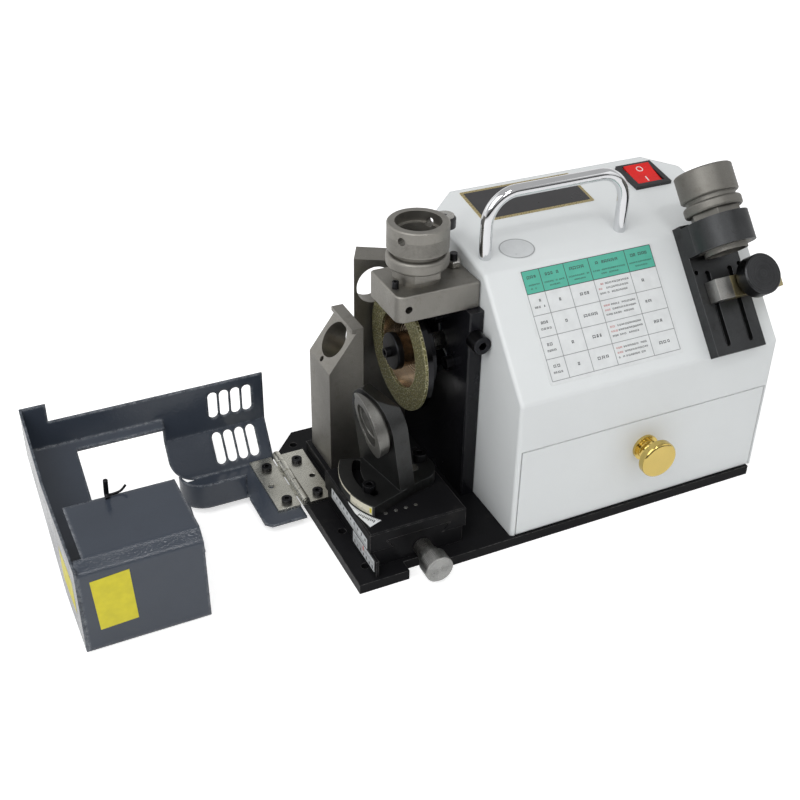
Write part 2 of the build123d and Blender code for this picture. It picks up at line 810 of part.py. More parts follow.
# Housing, folded from sheet
handle_xs = [house_left + HANDLE_X, house_left + HANDLE_X + HANDLE_PITCH]
switch_at = (house_right - SWITCH_INSET, SWITCH_V)
gauge_mid = house_right - GAUGE_INSET
gauge_screw_places = [(gauge_mid, GAUGE_SCREW_A), (gauge_mid, GAUGE_SCREW_B)]
corner_size = hypot(REAR_CORNER_X, REAR_CORNER_Y)
inner_corner_x = REAR_CORNER_X + SHEET * (corner_size - REAR_CORNER_X) / REAR_CORNER_Y
inner_corner_y = REAR_CORNER_Y + SHEET * (corner_size - REAR_CORNER_Y) / REAR_CORNER_X
gland_x = house_right - GLAND_INSET
gland_z = deck + GLAND_HEIGHT
with BuildPart() as cavity:
    with BuildSketch(plane_x(house_left + SHEET, 0, 0)):
        Polygon(
            *folded(
                [
                    (house_back, deck),
                    (house_back, ridge_z),
                    (crease_y, crease_z),
                    (house_front, slope_z),
                    (house_front, deck),
                ][::-1],
                SHEET,
            )[5:],
            align=None,
        )
    extrude(amount=HOUSING_LENGTH - 2 * SHEET)
    with BuildSketch(Plane.XY.offset(deck)):
        for x, turn in ((house_left, 1), (house_right, -1)):
            Polygon(
                (x, house_back),
                (x + turn * inner_corner_x, house_back),
                (x + turn * inner_corner_x, house_back - SHEET),
                (x + turn * SHEET, house_back - inner_corner_y),
                (x, house_back - inner_corner_y),
                align=None,
            )
    extrude(amount=ridge_z - deck, mode=Mode.SUBTRACT)

with BuildPart() as housing_shell:
    with BuildSketch(plane_x(house_left, 0, 0)):
        Polygon(
            (house_front, deck),
            (house_front, slope_z),
            (crease_y, crease_z),
            (house_back, ridge_z),
            (house_back, deck),
            align=None,
        )
    extrude(amount=HOUSING_LENGTH)
    with BuildSketch(Plane.XY.offset(deck)):
        for x, turn in ((house_left, 1), (house_right, -1)):
            Polygon(
                (x, house_back),
                (x + turn * REAR_CORNER_X, house_back),
                (x, house_back - REAR_CORNER_Y),
                align=None,
            )
    extrude(amount=ridge_z - deck, mode=Mode.SUBTRACT)
    fillet(housing_shell.edges().filter_by(Axis.X).group_by(Axis.Z)[1:3], radius=BEND_R)
    rims = housing_shell.faces().filter_by(Axis.X).edges()
    fillet(rims.filter_by(lambda e: e.center().Z > deck + EDGE_R and e.center().Y < axis_y), radius=EDGE_R)
    add(cavity.part, mode=Mode.SUBTRACT)
    block(
        (house_left + DRAWER_EDGE, house_right - DRAWER_EDGE),
        (house_front, house_front + SHEET),
        (deck, deck + DRAWER_OPENING),
        Mode.SUBTRACT,
    )
    bar(plane_x(house_left, axis_y, axis_z), SHAFT_HOLE_R, SHEET, Mode.SUBTRACT)
    with BuildSketch(plane_x(house_left, 0, 0)):
        with Locations(*motor_screw_places):
            Circle(MOTOR_SCREW_R + HOLE)
    extrude(amount=SHEET, mode=Mode.SUBTRACT)
    with BuildSketch(on_top(-2 * SHEET)):
        with Locations(switch_at):
            Rectangle(SWITCH_BODY + SWITCH_CUT_GAP, SWITCH_BODY + SWITCH_CUT_GAP)
        with Locations(*[(x, HANDLE_V) for x in handle_xs]):
            Circle(HANDLE_SCREW_R + HOLE)
    extrude(amount=3 * SHEET, mode=Mode.SUBTRACT)
    with BuildSketch(on_slope(-2 * SHEET)):
        with Locations(*gauge_screw_places):
            Circle(GAUGE_SCREW_R + HOLE)
    extrude(amount=3 * SHEET, mode=Mode.SUBTRACT)
    bar(plane_y(gland_x, house_back - SHEET, gland_z), GLAND_R + HOLE, SHEET, Mode.SUBTRACT)
    vent_origin = (house_left, house_back - SHEET, axis_z)
    with BuildSketch(Plane(origin=vent_origin, x_dir=(1, 0, 0), z_dir=(0, 1, 0))):
        with Locations((HOUSING_LENGTH / 2, 0)):
            with GridLocations(VENT_PITCH, VENT_PITCH, VENT_COUNT, 1):
                SlotOverall(VENT_HEIGHT, VENT_WIDTH, rotation=90)
    extrude(amount=SHEET, mode=Mode.SUBTRACT)

with BuildPart() as cable_gland:
    bar(plane_y(gland_x, house_back - SHEET - GLAND_NUT_L, gland_z), GLAND_R, GLAND_L + SHEET + GLAND_NUT_L)
    bar(plane_y(gland_x, house_back, gland_z), GLAND_FLANGE_R, GLAND_NUT_L)
    with BuildSketch(plane_y(gland_x, house_back - SHEET - GLAND_NUT_L, gland_z)):
        RegularPolygon(GLAND_FLANGE_R, 6)
    extrude(amount=GLAND_NUT_L)
    bar(
        plane_y(gland_x, house_back - SHEET - GLAND_NUT_L, gland_z),
        GLAND_BORE_R,
        GLAND_L + SHEET + GLAND_NUT_L,
        Mode.SUBTRACT,
    )

# Drawer and its runners
panel_left = house_left + DRAWER_EDGE + DRAWER_GAP
panel_right = house_right - DRAWER_EDGE - DRAWER_GAP
tray_left = house_left + SHEET + RUNNER_WALL + TRAY_SIDE_GAP
tray_right = house_right - SHEET - RUNNER_WALL - TRAY_SIDE_GAP
tray_front = house_front + SHEET
tray_floor = deck + DRAWER_LIFT
knob_x = (panel_left + panel_right) / 2
knob_z = deck + KNOB_HEIGHT
knob_step = KNOB_FOOT_L + KNOB_STEP_L
head_back = KNOB_LENGTH - KNOB_HEAD_L
with BuildPart() as drawer_runners:
    for x, turn in ((house_left + SHEET, 1), (house_right - SHEET, -1)):
        with BuildSketch(plane_y(x, tray_front + SHEET, deck)):
            Polygon(
                (0, 0),
                (turn * RUNNER_FOOT, 0),
                (turn * RUNNER_FOOT, -RUNNER_FOOT_H),
                (turn * RUNNER_WALL, -RUNNER_FOOT_H),
                (turn * RUNNER_WALL, -RUNNER_HEIGHT),
                (0, -RUNNER_HEIGHT),
                align=None,
            )
        extrude(amount=TRAY_DEPTH - REAR_CORNER_Y)

with BuildPart() as drawer_front:
    block(
        (panel_left, panel_right),
        (house_front, tray_front),
        (deck + DRAWER_GAP, deck + DRAWER_OPENING - DRAWER_GAP),
    )
    bar(plane_y(knob_x, house_front, knob_z), KNOB_SCREW_R + HOLE, SHEET, Mode.SUBTRACT)

tray_back = tray_front + TRAY_DEPTH
with BuildPart() as drawer_tray:
    with BuildSketch(Plane.XY.offset(tray_floor)):
        Polygon(
            (tray_left, tray_front),
            (tray_right, tray_front),
            (tray_right, tray_back - REAR_CORNER_Y),
            (tray_right - REAR_CORNER_X, tray_back),
            (tray_left + REAR_CORNER_X, tray_back),
            (tray_left, tray_back - REAR_CORNER_Y),
            align=None,
        )
    extrude(amount=TRAY_HEIGHT)
    offset(amount=-TRAY_WALL, openings=drawer_tray.faces().sort_by(Axis.Z)[-1])
    bar(plane_y(knob_x, tray_front, knob_z), KNOB_SCREW_R + HOLE, TRAY_WALL, Mode.SUBTRACT)

with BuildPart() as drawer_knob:
    with BuildSketch(Plane(origin=(knob_x, house_front, knob_z), x_dir=(0, -1, 0), z_dir=(1, 0, 0))):
        with BuildLine():
            Polyline(
                (KNOB_LENGTH - KNOB_ROUND, KNOB_R),
                (head_back, KNOB_R),
                (head_back, KNOB_STEP_R),
            )
            ThreePointArc(
                (head_back, KNOB_STEP_R),
                ((head_back + knob_step) / 2, KNOB_NECK_R),
                (knob_step, KNOB_STEP_R),
            )
            Polyline(
                (knob_step, KNOB_STEP_R),
                (KNOB_FOOT_L, KNOB_STEP_R),
                (KNOB_FOOT_L, KNOB_FOOT_R),
                (0, KNOB_FOOT_R),
                (0, 0),
                (KNOB_LENGTH, 0),
                (KNOB_LENGTH, KNOB_R - KNOB_ROUND),
            )
            RadiusArc((KNOB_LENGTH, KNOB_R - KNOB_ROUND), (KNOB_LENGTH - KNOB_ROUND, KNOB_R), -KNOB_ROUND)
        make_face()
    revolve(axis=Axis((knob_x, house_front, knob_z), (0, 1, 0)))
    bar(
        plane_y(knob_x, house_front - KNOB_SCREW_DEPTH - HOLE, knob_z),
        KNOB_SCREW_R + GRIP,
        KNOB_SCREW_DEPTH + HOLE,
        Mode.SUBTRACT,
    )

with BuildPart() as knob_screw:
    bar(
        plane_y(knob_x, house_front - KNOB_SCREW_DEPTH, knob_z),
        KNOB_SCREW_R,
        KNOB_SCREW_DEPTH + SHEET + TRAY_WALL,
    )
    bar(plane_y(knob_x, tray_front + TRAY_WALL, knob_z), KNOB_SCREW_HEAD_R, KNOB_SCREW_HEAD_L)

# Carrying handle on the inclined top
feet = [on_top(0).from_local_coords((x, HANDLE_V, 0)) for x in handle_xs]
handle_low = feet[0].Z - 2 * HANDLE_R
handle_high = feet[0].Z + HANDLE_HEIGHT
with BuildPart() as carry_handle:
    with BuildLine():
        FilletPolyline(
            (feet[0].X, feet[0].Y, handle_low),
            (feet[0].X, feet[0].Y, handle_high),
            (feet[1].X, feet[1].Y, handle_high),
            (feet[1].X, feet[1].Y, handle_low),
            radius=HANDLE_BEND,
        )
    with BuildSketch(plane_z(feet[0].X, feet[0].Y, handle_low)):
        Circle(HANDLE_R)
    sweep()
    split(bisect_by=on_top(0), keep=Keep.TOP)
    with BuildSketch(on_top(0)):
        with Locations(*[(x, HANDLE_V) for x in handle_xs]):
            Circle(HANDLE_SCREW_R + GRIP)
    extrude(amount=HANDLE_SCREW_DEPTH + HOLE, mode=Mode.SUBTRACT)

with BuildPart() as handle_screws:
    with BuildSketch(on_top(-SHEET - HANDLE_SCREW_HEAD_L)):
        with Locations(*[(x, HANDLE_V) for x in handle_xs]):
            Circle(HANDLE_SCREW_HEAD_R)
    extrude(amount=HANDLE_SCREW_HEAD_L)
    with BuildSketch(on_top(-SHEET)):
        with Locations(*[(x, HANDLE_V) for x in handle_xs]):
            Circle(HANDLE_SCREW_R)
    extrude(amount=SHEET + HANDLE_SCREW_DEPTH)

# Rocker switch
pocket = ROCKER_SIZE + 2 * ROCKER_GAP
switch_top = moved(on_top(SWITCH_LIP), *switch_at)
with BuildPart() as switch_frame:
    slab(
        moved(on_top(0), *switch_at),
        (-SWITCH_SIZE / 2, SWITCH_SIZE / 2),
        (-SWITCH_SIZE / 2, SWITCH_SIZE / 2),
        SWITCH_LIP,
    )
    chamfer(switch_frame.faces().sort_by(Axis.Z)[-1].edges(), length=SWITCH_LIP / 3)
    slab(
        moved(on_top(-SWITCH_DEPTH), *switch_at),
        (-SWITCH_BODY / 2, SWITCH_BODY / 2),
        (-SWITCH_BODY / 2, SWITCH_BODY / 2),
        SWITCH_DEPTH,
    )
    slab(switch_top, (-pocket / 2, pocket / 2), (-pocket / 2, pocket / 2), -ROCKER_POCKET, Mode.SUBTRACT)
    rocker_axis = switch_top.from_local_coords((0, 0, -ROCKER_DROP - ROCKER_PIN_R))
    bar(
        plane_x(rocker_axis.X - pocket / 2 - ROCKER_PIN_L, rocker_axis.Y, rocker_axis.Z),
        ROCKER_PIN_R + RUN,
        pocket + 2 * ROCKER_PIN_L,
        Mode.SUBTRACT,
    )

tilt = top_angle + radians(ROCKER_TILT)
rocker_plane = Plane(
    origin=(rocker_axis.X - ROCKER_SIZE / 2, rocker_axis.Y, rocker_axis.Z),
    x_dir=(0, cos(tilt), sin(tilt)),
    z_dir=(1, 0, 0),
)
with BuildPart() as rocker_button:
    with BuildSketch(rocker_plane):
        with BuildLine():
            Polyline(
                (-ROCKER_SIZE / 2, ROCKER_RISE),
                (-ROCKER_SIZE / 2, -ROCKER_RISE),
                (-ROCKER_SIZE / 4, -ROCKER_RISE * 2),
                (ROCKER_SIZE / 4, -ROCKER_RISE * 2),
                (ROCKER_SIZE / 2, -ROCKER_RISE),
                (ROCKER_SIZE / 2, ROCKER_RISE),
            )
            ThreePointArc(
                (ROCKER_SIZE / 2, ROCKER_RISE),
                (0, ROCKER_RISE * 0.75),
                (-ROCKER_SIZE / 2, ROCKER_RISE),
            )
        make_face()
    extrude(amount=ROCKER_SIZE)
    pin_length = ROCKER_SIZE + 2 * ROCKER_GAP + 2 * (ROCKER_PIN_L - RUN)
    bar(plane_x(rocker_axis.X - pin_length / 2, rocker_axis.Y, rocker_axis.Z), ROCKER_PIN_R, pin_length)

# Seat plate on the side plate
seat_plate_right = side_right - SEAT_PLATE_GAP
seat_plate_left = seat_plate_right - SEAT_PLATE_LENGTH
seat_plate_front = front + SEAT_PLATE_Y
seat_top = side_top + SEAT_PLATE_THICK
seat_x = seat_plate_left + SEAT_X
seat_y = seat_plate_front + SEAT_Y
stud_at = (seat_plate_left + STUD_X, seat_plate_front + STUD_Y)
grub_at = (seat_plate_left + GRUB_X, seat_plate_front + GRUB_Y)
lock_at = (seat_plate_left + LOCK_X, seat_plate_front + LOCK_Y)
with BuildPart() as seat_plate:
    block(
        (seat_plate_left, seat_plate_right),
        (seat_plate_front, seat_plate_front + SEAT_PLATE_DEPTH),
        (side_top, seat_top),
    )
    left_corners = seat_plate.edges().filter_by(Axis.Z).group_by(Axis.X)[0].sort_by(Axis.Y)
    right_corners = seat_plate.edges().filter_by(Axis.Z).group_by(Axis.X)[-1].sort_by(Axis.Y)
    fillet([left_corners[-1], right_corners[0]], radius=SEAT_PLATE_CORNER)
    left_corners = seat_plate.edges().filter_by(Axis.Z).group_by(Axis.X)[0].sort_by(Axis.Y)
    fillet(left_corners[0], radius=SEAT_PLATE_ROUND)
    chamfer(seat_plate.faces().filter_by(Axis.Z).edges(), length=SEAT_PLATE_EDGE)
    bar(plane_z(seat_x, seat_y, side_top), SEAT_BORE_R, SEAT_PLATE_THICK, Mode.SUBTRACT)
    bar(
        plane_y(seat_plate_left + FRONT_HOLE_X, seat_plate_front, (side_top + seat_top) / 2),
        FRONT_HOLE_R,
        FRONT_HOLE_DEPTH,
        Mode.SUBTRACT,
    )
    bar(plane_z(*stud_at, seat_top - STUD_DOWN - HOLE), STUD_R + GRIP, STUD_DOWN + HOLE, Mode.SUBTRACT)
    bar(plane_z(*grub_at, seat_top - STUD_DOWN - HOLE), GRUB_R + GRIP, STUD_DOWN + HOLE, Mode.SUBTRACT)
    bar(
        plane_z(*lock_at, seat_top - LOCK_STEM_DOWN - HOLE),
        LOCK_STEM_R + RUN,
        LOCK_STEM_DOWN + HOLE,
        Mode.SUBTRACT,
    )

with BuildPart() as seat_stud:
    bar(plane_z(*stud_at, seat_top - STUD_DOWN), STUD_R, STUD_DOWN + STUD_UP)
    bar(plane_z(*grub_at, seat_top - STUD_DOWN), GRUB_R, STUD_DOWN + GRUB_UP)
    with BuildSketch(plane_z(*grub_at, seat_top + GRUB_UP)):
        RegularPolygon(GRUB_SOCKET_R, 6)
    extrude(amount=-GRUB_SOCKET_DEPTH, mode=Mode.SUBTRACT)

with BuildPart() as seat_nut:
    with BuildSketch(plane_z(*stud_at, seat_top)):
        RegularPolygon(NUT_R, 6)
    extrude(amount=NUT_H)
    chamfer(seat_nut.faces().filter_by(Axis.Z).edges(), length=NUT_EDGE)
    bar(plane_z(*stud_at, seat_top), STUD_R + GRIP, NUT_H, Mode.SUBTRACT)

with BuildPart() as lock_knob:
    bar(plane_z(*lock_at, seat_top - LOCK_STEM_DOWN), LOCK_STEM_R, LOCK_STEM_DOWN + LOCK_STEM_UP)
    bar(plane_z(*lock_at, seat_top + LOCK_STEM_UP), LOCK_KNOB_R, LOCK_KNOB_H)
    fillet(lock_knob.edges().group_by(Axis.Z)[-1], radius=LOCK_KNOB_R / 6)
    bar(plane_z(*lock_at, seat_top + LOCK_STEM_UP + LOCK_KNOB_H), LOCK_CAP_R, LOCK_CAP_H)

hex_z = seat_top + NECK_H
lower_ring_z = hex_z + HEX_H
groove_z = lower_ring_z + LOWER_RING_H
upper_ring_z = groove_z + GROOVE_H
with BuildPart() as seat_collar:
    ring(plane_z(seat_x, seat_y, seat_top), NECK_R, SEAT_BORE_R, NECK_H)
    ring(plane_z(seat_x, seat_y, lower_ring_z), LOWER_RING_R, SEAT_BORE_R, LOWER_RING_H)
    rims = seat_collar.edges().filter_by(GeomType.CIRCLE)
    fillet(rims.filter_by(lambda e: abs(e.radius - LOWER_RING_R) < RUN), radius=LOWER_RING_ROUND)
    ring(plane_z(seat_x, seat_y, groove_z), GROOVE_R, SEAT_BORE_R, GROOVE_H)
    with BuildSketch(plane_z(seat_x, seat_y, hex_z)):
        RegularPolygon(HEX_FLAT_R, 6, major_radius=False)
        Circle(SEAT_BORE_R, mode=Mode.SUBTRACT)
    extrude(amount=HEX_H)

index_dir = (cos(radians(INDEX_HOLE_TURN)), sin(radians(INDEX_HOLE_TURN)), 0)
with BuildPart() as seat_ring:
    ring(plane_z(seat_x, seat_y, upper_ring_z), SEAT_RING_R, SEAT_BORE_R, UPPER_RING_H)
    rims = seat_ring.edges().filter_by(GeomType.CIRCLE)
    chamfer(rims.filter_by(lambda e: abs(e.radius - SEAT_RING_R) < RUN), length=SEAT_EDGE)
    mouth_z = upper_ring_z + UPPER_RING_H - SEAT_MOUTH_DEPTH
    bar(plane_z(seat_x, seat_y, mouth_z), SEAT_MOUTH_R, SEAT_MOUTH_DEPTH, Mode.SUBTRACT)
    index_plane = Plane(origin=(seat_x, seat_y, upper_ring_z + INDEX_HOLE_UP), z_dir=index_dir)
    for reach in (SEAT_RING_R, -SEAT_RING_R):
        bar(index_plane, INDEX_HOLE_R, reach, Mode.SUBTRACT)

# Rear plate
rear_fall = radians(REAR_TOP_TILT)
rear_lift = atan2(REAR_PLATE_RISE, REAR_PLATE_THICK)
rear_top = Plane(
    origin=(rear_left, rear_y, deck + REAR_PLATE_HEIGHT),
    x_dir=(cos(rear_fall), 0, -sin(rear_fall)),
    z_dir=(
        sin(rear_fall) * cos(rear_lift),
        -cos(rear_fall) * sin(rear_lift),
        cos(rear_fall) * cos(rear_lift),
    ),
)
port_x = rear_left + PORT_X
port_z = deck + REAR_PLATE_HEIGHT - PORT_DROP
with BuildPart() as rear_plate:
    block(
        (rear_left, rear_right),
        (rear_y, rear_y + REAR_PLATE_THICK),
        (deck, deck + REAR_PLATE_HEIGHT + REAR_PLATE_RISE),
    )
    split(bisect_by=rear_top, keep=Keep.BOTTOM)
    with BuildSketch(Plane.XY.offset(deck)):
        Polygon(
            (rear_left, rear_y),
            (rear_left, rear_y + REAR_PLATE_THICK),
            (rear_left + REAR_PLATE_BEVEL, rear_y + REAR_PLATE_THICK),
            align=None,
        )
    extrude(amount=REAR_PLATE_HEIGHT + REAR_PLATE_RISE, mode=Mode.SUBTRACT)
    bar(plane_y(port_x, rear_y, port_z), PORT_R, REAR_PLATE_THICK, Mode.SUBTRACT)
    base_screw_holes(rear_screws, deck)

# Post with the tilted seat, on its riser
post_foot = deck + RISER_H
post_right = post_x + POST_LENGTH
face_low = (post_x, post_foot + POST_SHOULDER)
face_high = (face_low[0] + POST_FACE_RUN, face_low[1] + POST_FACE_RISE)
face_angle = atan2(POST_FACE_RISE, POST_FACE_RUN)
bore_origin = (
    face_low[0] + POST_BORE_UP * cos(face_angle),
    post_y + POST_DEPTH / 2,
    face_low[1] + POST_BORE_UP * sin(face_angle),
)
set_hole_origin = (
    face_low[0] + SET_HOLE_UP * cos(face_angle),
    post_y + POST_DEPTH / 2,
    face_low[1] + SET_HOLE_UP * sin(face_angle),
)
bore_dir = (sin(face_angle), 0, -cos(face_angle))
with BuildPart() as post_riser:
    block(
        (left + RISER_X, left + RISER_X + RISER_LENGTH),
        (front + RISER_Y, front + RISER_Y + RISER_DEPTH),
        (deck, post_foot),
    )
    with BuildSketch(Plane.XY.offset(deck)):
        with Locations(*post_screws):
            Circle(BASE_SCREW_R + HOLE)
    extrude(amount=RISER_H, mode=Mode.SUBTRACT)

with BuildPart() as post:
    with BuildSketch(Plane(origin=(0, post_y, 0), x_dir=(1, 0, 0), z_dir=(0, -1, 0))):
        Polygon(
            (post_x, post_foot),
            face_low,
            face_high,
            (face_high[0] - POST_LIP, face_high[1]),
            (face_high[0] - POST_LIP, face_high[1] + POST_LIP_H),
            (post_right, face_high[1] + POST_LIP_H),
            (post_right, post_foot),
            align=None,
        )
    extrude(amount=-POST_DEPTH)
    bar(Plane(origin=bore_origin, z_dir=bore_dir), POST_BORE_R, 2 * POST_LENGTH, Mode.SUBTRACT)
    bar(
        Plane(origin=set_hole_origin, z_dir=bore_dir),
        SET_HOLE_R,
        SET_HOLE_DEPTH,
        Mode.SUBTRACT,
    )
    base_screw_holes(post_screws, post_foot)

# Cross slide
slide_top = deck + SLIDE_BASE_H
tongue_top = slide_top + TONGUE_H
channel_w = FEED_NUT_W + 2 * SLIDE
with BuildPart() as slide_base:
    block(
        (slide_x - SLIDE_BASE_W / 2, slide_x + SLIDE_BASE_W / 2),
        (slide_y, slide_y + SLIDE_BASE_D),
        (deck, slide_top),
    )
    with BuildSketch(Plane(origin=(slide_x, slide_y, slide_top), x_dir=(1, 0, 0), z_dir=(0, -1, 0))):
        Polygon(
            (-TONGUE_FOOT / 2, 0),
            (TONGUE_FOOT / 2, 0),
            (TONGUE_TOP / 2, TONGUE_H),
            (-TONGUE_TOP / 2, TONGUE_H),
            align=None,
        )
    extrude(amount=-SLIDE_BASE_D)
    block(
        (slide_x - SLIDE_BASE_W / 2 - RAIL_W, slide_x - SLIDE_BASE_W / 2),
        (front + RAIL_Y, front + RAIL_Y + RAIL_D),
        (deck, slide_top),
    )
    block(
        (feed_x - channel_w / 2, feed_x + channel_w / 2),
        (slide_y + FEED_WALL, slide_y + SLIDE_BASE_D - FEED_WALL),
        (deck + CHANNEL_FLOOR, tongue_top),
        Mode.SUBTRACT,
    )
    bar(plane_y(feed_x, slide_y, feed_z), FEED_R + RUN, SLIDE_BASE_D, Mode.SUBTRACT)
    base_screw_holes(slide_screws, deck)

table_low = slide_top + SLIDE
table_top = table_low + TABLE_H
table_y = front + TABLE_Y
groove_roof = tongue_top + SLIDE
groove_slant = SLIDE * (1 + (TONGUE_TOP - TONGUE_FOOT) / 2 / TONGUE_H)
pivot = (left + PIVOT_X, front + PIVOT_Y)
clamp_at = (
    pivot[0] + SLOT_R * cos(radians(CLAMP_TURN)),
    pivot[1] + SLOT_R * sin(radians(CLAMP_TURN)),
)
pin_places = [(left + STOP_PIN_X + i * STOP_PIN_PITCH, table_y + STOP_PIN_Y) for i in range(STOP_PIN_COUNT)]
with BuildPart() as slide_table:
    block(
        (slide_x - TABLE_W / 2, slide_x + TABLE_W / 2),
        (table_y, table_y + TABLE_D),
        (table_low, table_top),
    )
    chamfer(slide_table.faces().sort_by(Axis.Z)[-1].edges(), length=SEAT_PLATE_EDGE)
    with BuildSketch(Plane(origin=(slide_x, table_y, slide_top), x_dir=(1, 0, 0), z_dir=(0, -1, 0))):
        Polygon(
            (-TONGUE_FOOT / 2 - groove_slant, 0),
            (TONGUE_FOOT / 2 + groove_slant, 0),
            (TONGUE_TOP / 2 + groove_slant, groove_roof - slide_top),
            (-TONGUE_TOP / 2 - groove_slant, groove_roof - slide_top),
            align=None,
        )
    extrude(amount=-TABLE_D, mode=Mode.SUBTRACT)
    bar(plane_z(*pivot, table_top - PIVOT_DEPTH), PIVOT_R, PIVOT_DEPTH, Mode.SUBTRACT)
    clamp_floor = table_top - CLAMP_DEPTH - HOLE
    bar(plane_z(*clamp_at, clamp_floor), CLAMP_R + GRIP, CLAMP_DEPTH + HOLE, Mode.SUBTRACT)
    with BuildSketch(Plane.XY.offset(table_top - STOP_PIN_L)):
        with Locations(*pin_places):
            Circle(STOP_PIN_R)
    extrude(amount=STOP_PIN_L, mode=Mode.SUBTRACT)

with BuildPart() as stop_pins:
    with BuildSketch(Plane.XY.offset(table_top - STOP_PIN_L)):
        with Locations(*pin_places):
            Circle(STOP_PIN_R)
    extrude(amount=STOP_PIN_L)

nut_y = slide_y + FEED_NUT_Y - SLIDE_BASE_Y
with BuildPart() as feed_nut:
    block(
        (feed_x - FEED_NUT_W / 2, feed_x + FEED_NUT_W / 2),
        (nut_y, nut_y + FEED_NUT_D),
        (feed_z - FEED_NUT_BELOW, groove_roof),
    )
    bar(plane_y(feed_x, nut_y, feed_z), FEED_R + RUN, FEED_NUT_D, Mode.SUBTRACT)

knob_back = slide_y - SLIDE_BASE_Y + RAIL_Y - SLIDE
knob_front = knob_back - FEED_KNOB_L
with BuildPart() as feed_screw:
    bar(
        plane_y(feed_x, knob_back - FEED_KNOB_GRIP, feed_z),
        FEED_R,
        slide_y + SLIDE_BASE_D - FEED_TAIL - knob_back + FEED_KNOB_GRIP,
    )
    bar(plane_y(feed_x, knob_back, feed_z), FEED_COLLAR_R, slide_y - SLIDE - knob_back)

with BuildPart() as feed_knob:
    bar(plane_y(feed_x, knob_front, feed_z), FEED_KNOB_R, FEED_KNOB_L - FEED_KNOB_STEP_L)
    chamfer(feed_knob.edges().filter_by(GeomType.CIRCLE), length=SEAT_PLATE_EDGE)
    bar(plane_y(feed_x, knob_back - FEED_KNOB_STEP_L, feed_z), FEED_KNOB_STEP_R, FEED_KNOB_STEP_L)
    bar(plane_y(feed_x, knob_back - FEED_KNOB_GRIP, feed_z), FEED_R, FEED_KNOB_GRIP, Mode.SUBTRACT)

# Swivel jig: a sector foot with a leaning upright
foot_low = table_top + REST
foot_top = foot_low + FOOT_H
turn_a = radians(180 - FOOT_HALF_ANGLE)
turn_b = radians(180 + FOOT_HALF_ANGLE)
rim_a = (FOOT_R * cos(turn_a), FOOT_R * sin(turn_a))
rim_b = (FOOT_R * cos(turn_b), FOOT_R * sin(turn_b))
up_turn = radians(UPRIGHT_TURN)
up_lean = radians(UPRIGHT_TILT)
upright_plane = Plane(
    origin=(left + UPRIGHT_X, front + UPRIGHT_Y, foot_top),
    x_dir=(sin(up_turn), -cos(up_turn), 0),
    z_dir=(-cos(up_lean) * cos(up_turn), -cos(up_lean) * sin(up_turn), -sin(up_lean)),
)
jig_bore = moved(upright_plane, 0, UPRIGHT_UP)
top_slant = atan2(UPRIGHT_TOP - UPRIGHT_BACK_TOP, UPRIGHT_THICK)
upright_top = Plane(
    origin=upright_plane.from_local_coords((0, UPRIGHT_TOP, 0)),
    z_dir=upright_plane.y_dir * cos(top_slant) - upright_plane.z_dir * sin(top_slant),
)
face_tilt = radians(JIG_FACE_TILT)
face_turn = radians(JIG_FACE_TURN)
face_fall = jig_bore.x_dir * cos(face_turn) + jig_bore.y_dir * sin(face_turn)
jig_face = Plane(
    origin=jig_bore.from_local_coords((0, 0, JIG_FACE_OUT)),
    z_dir=jig_bore.z_dir * cos(face_tilt) - face_fall * sin(face_tilt),
)
lock_screw_at = (pivot[0] + LOCK_SCREW_X, pivot[1] + LOCK_SCREW_Y)
slot_line = CenterArc((0, 0), SLOT_R, SLOT_ANGLE_FROM, SLOT_ANGLE_TO - SLOT_ANGLE_FROM)
with BuildPart() as jig_body:
    with BuildSketch(plane_z(*pivot, foot_low)):
        with BuildLine():
            ThreePointArc(rim_a, (-FOOT_R, 0), rim_b)
            Polyline(rim_b, (0, -FOOT_NOSE_R), (0, FOOT_NOSE_R), rim_a)
        make_face()
        Circle(FOOT_NOSE_R)
        SlotArc(slot_line, SLOT_W, mode=Mode.SUBTRACT)
        Circle(PIVOT_R + RUN, mode=Mode.SUBTRACT)
    extrude(amount=FOOT_H)
    with BuildSketch(upright_plane):
        with Locations((0, (UPRIGHT_UP - UPRIGHT_ROOT) / 2)):
            Rectangle(2 * UPRIGHT_R, UPRIGHT_UP + UPRIGHT_ROOT)
        with Locations((0, UPRIGHT_UP)):
            Circle(UPRIGHT_R)
    extrude(amount=-UPRIGHT_THICK)
    split(bisect_by=upright_top, keep=Keep.BOTTOM)
    bar(jig_bore, JIG_SPIGOT_R, -UPRIGHT_THICK, Mode.SUBTRACT)
    bar(plane_z(*lock_screw_at, foot_low), LOCK_SCREW_R + GRIP, FOOT_H, Mode.SUBTRACT)

with BuildPart() as jig_ring:
    ring(jig_bore, JIG_GROOVE_R, JIG_RING_BORE_R, JIG_GROOVE_L)
    ring(jig_bore.offset(JIG_GROOVE_L), JIG_RING_R, JIG_RING_BORE_R, JIG_RING_L)
    split(bisect_by=jig_face, keep=Keep.BOTTOM)
    ring(jig_bore.offset(-UPRIGHT_THICK), JIG_SPIGOT_R, JIG_BORE_R, UPRIGHT_THICK)

with BuildPart() as jig_clamp_screw:
    bar(plane_z(*clamp_at, table_top - CLAMP_DEPTH), CLAMP_R, CLAMP_DEPTH + FOOT_H + 2 * REST)
    bar(plane_z(*clamp_at, foot_top + REST), CLAMP_HEAD_R, CLAMP_HEAD_H)
    with BuildSketch(plane_z(*clamp_at, foot_top + REST + CLAMP_HEAD_H)):
        RegularPolygon(CLAMP_R, 6)
    extrude(amount=-CLAMP_HEAD_H * 0.6, mode=Mode.SUBTRACT)

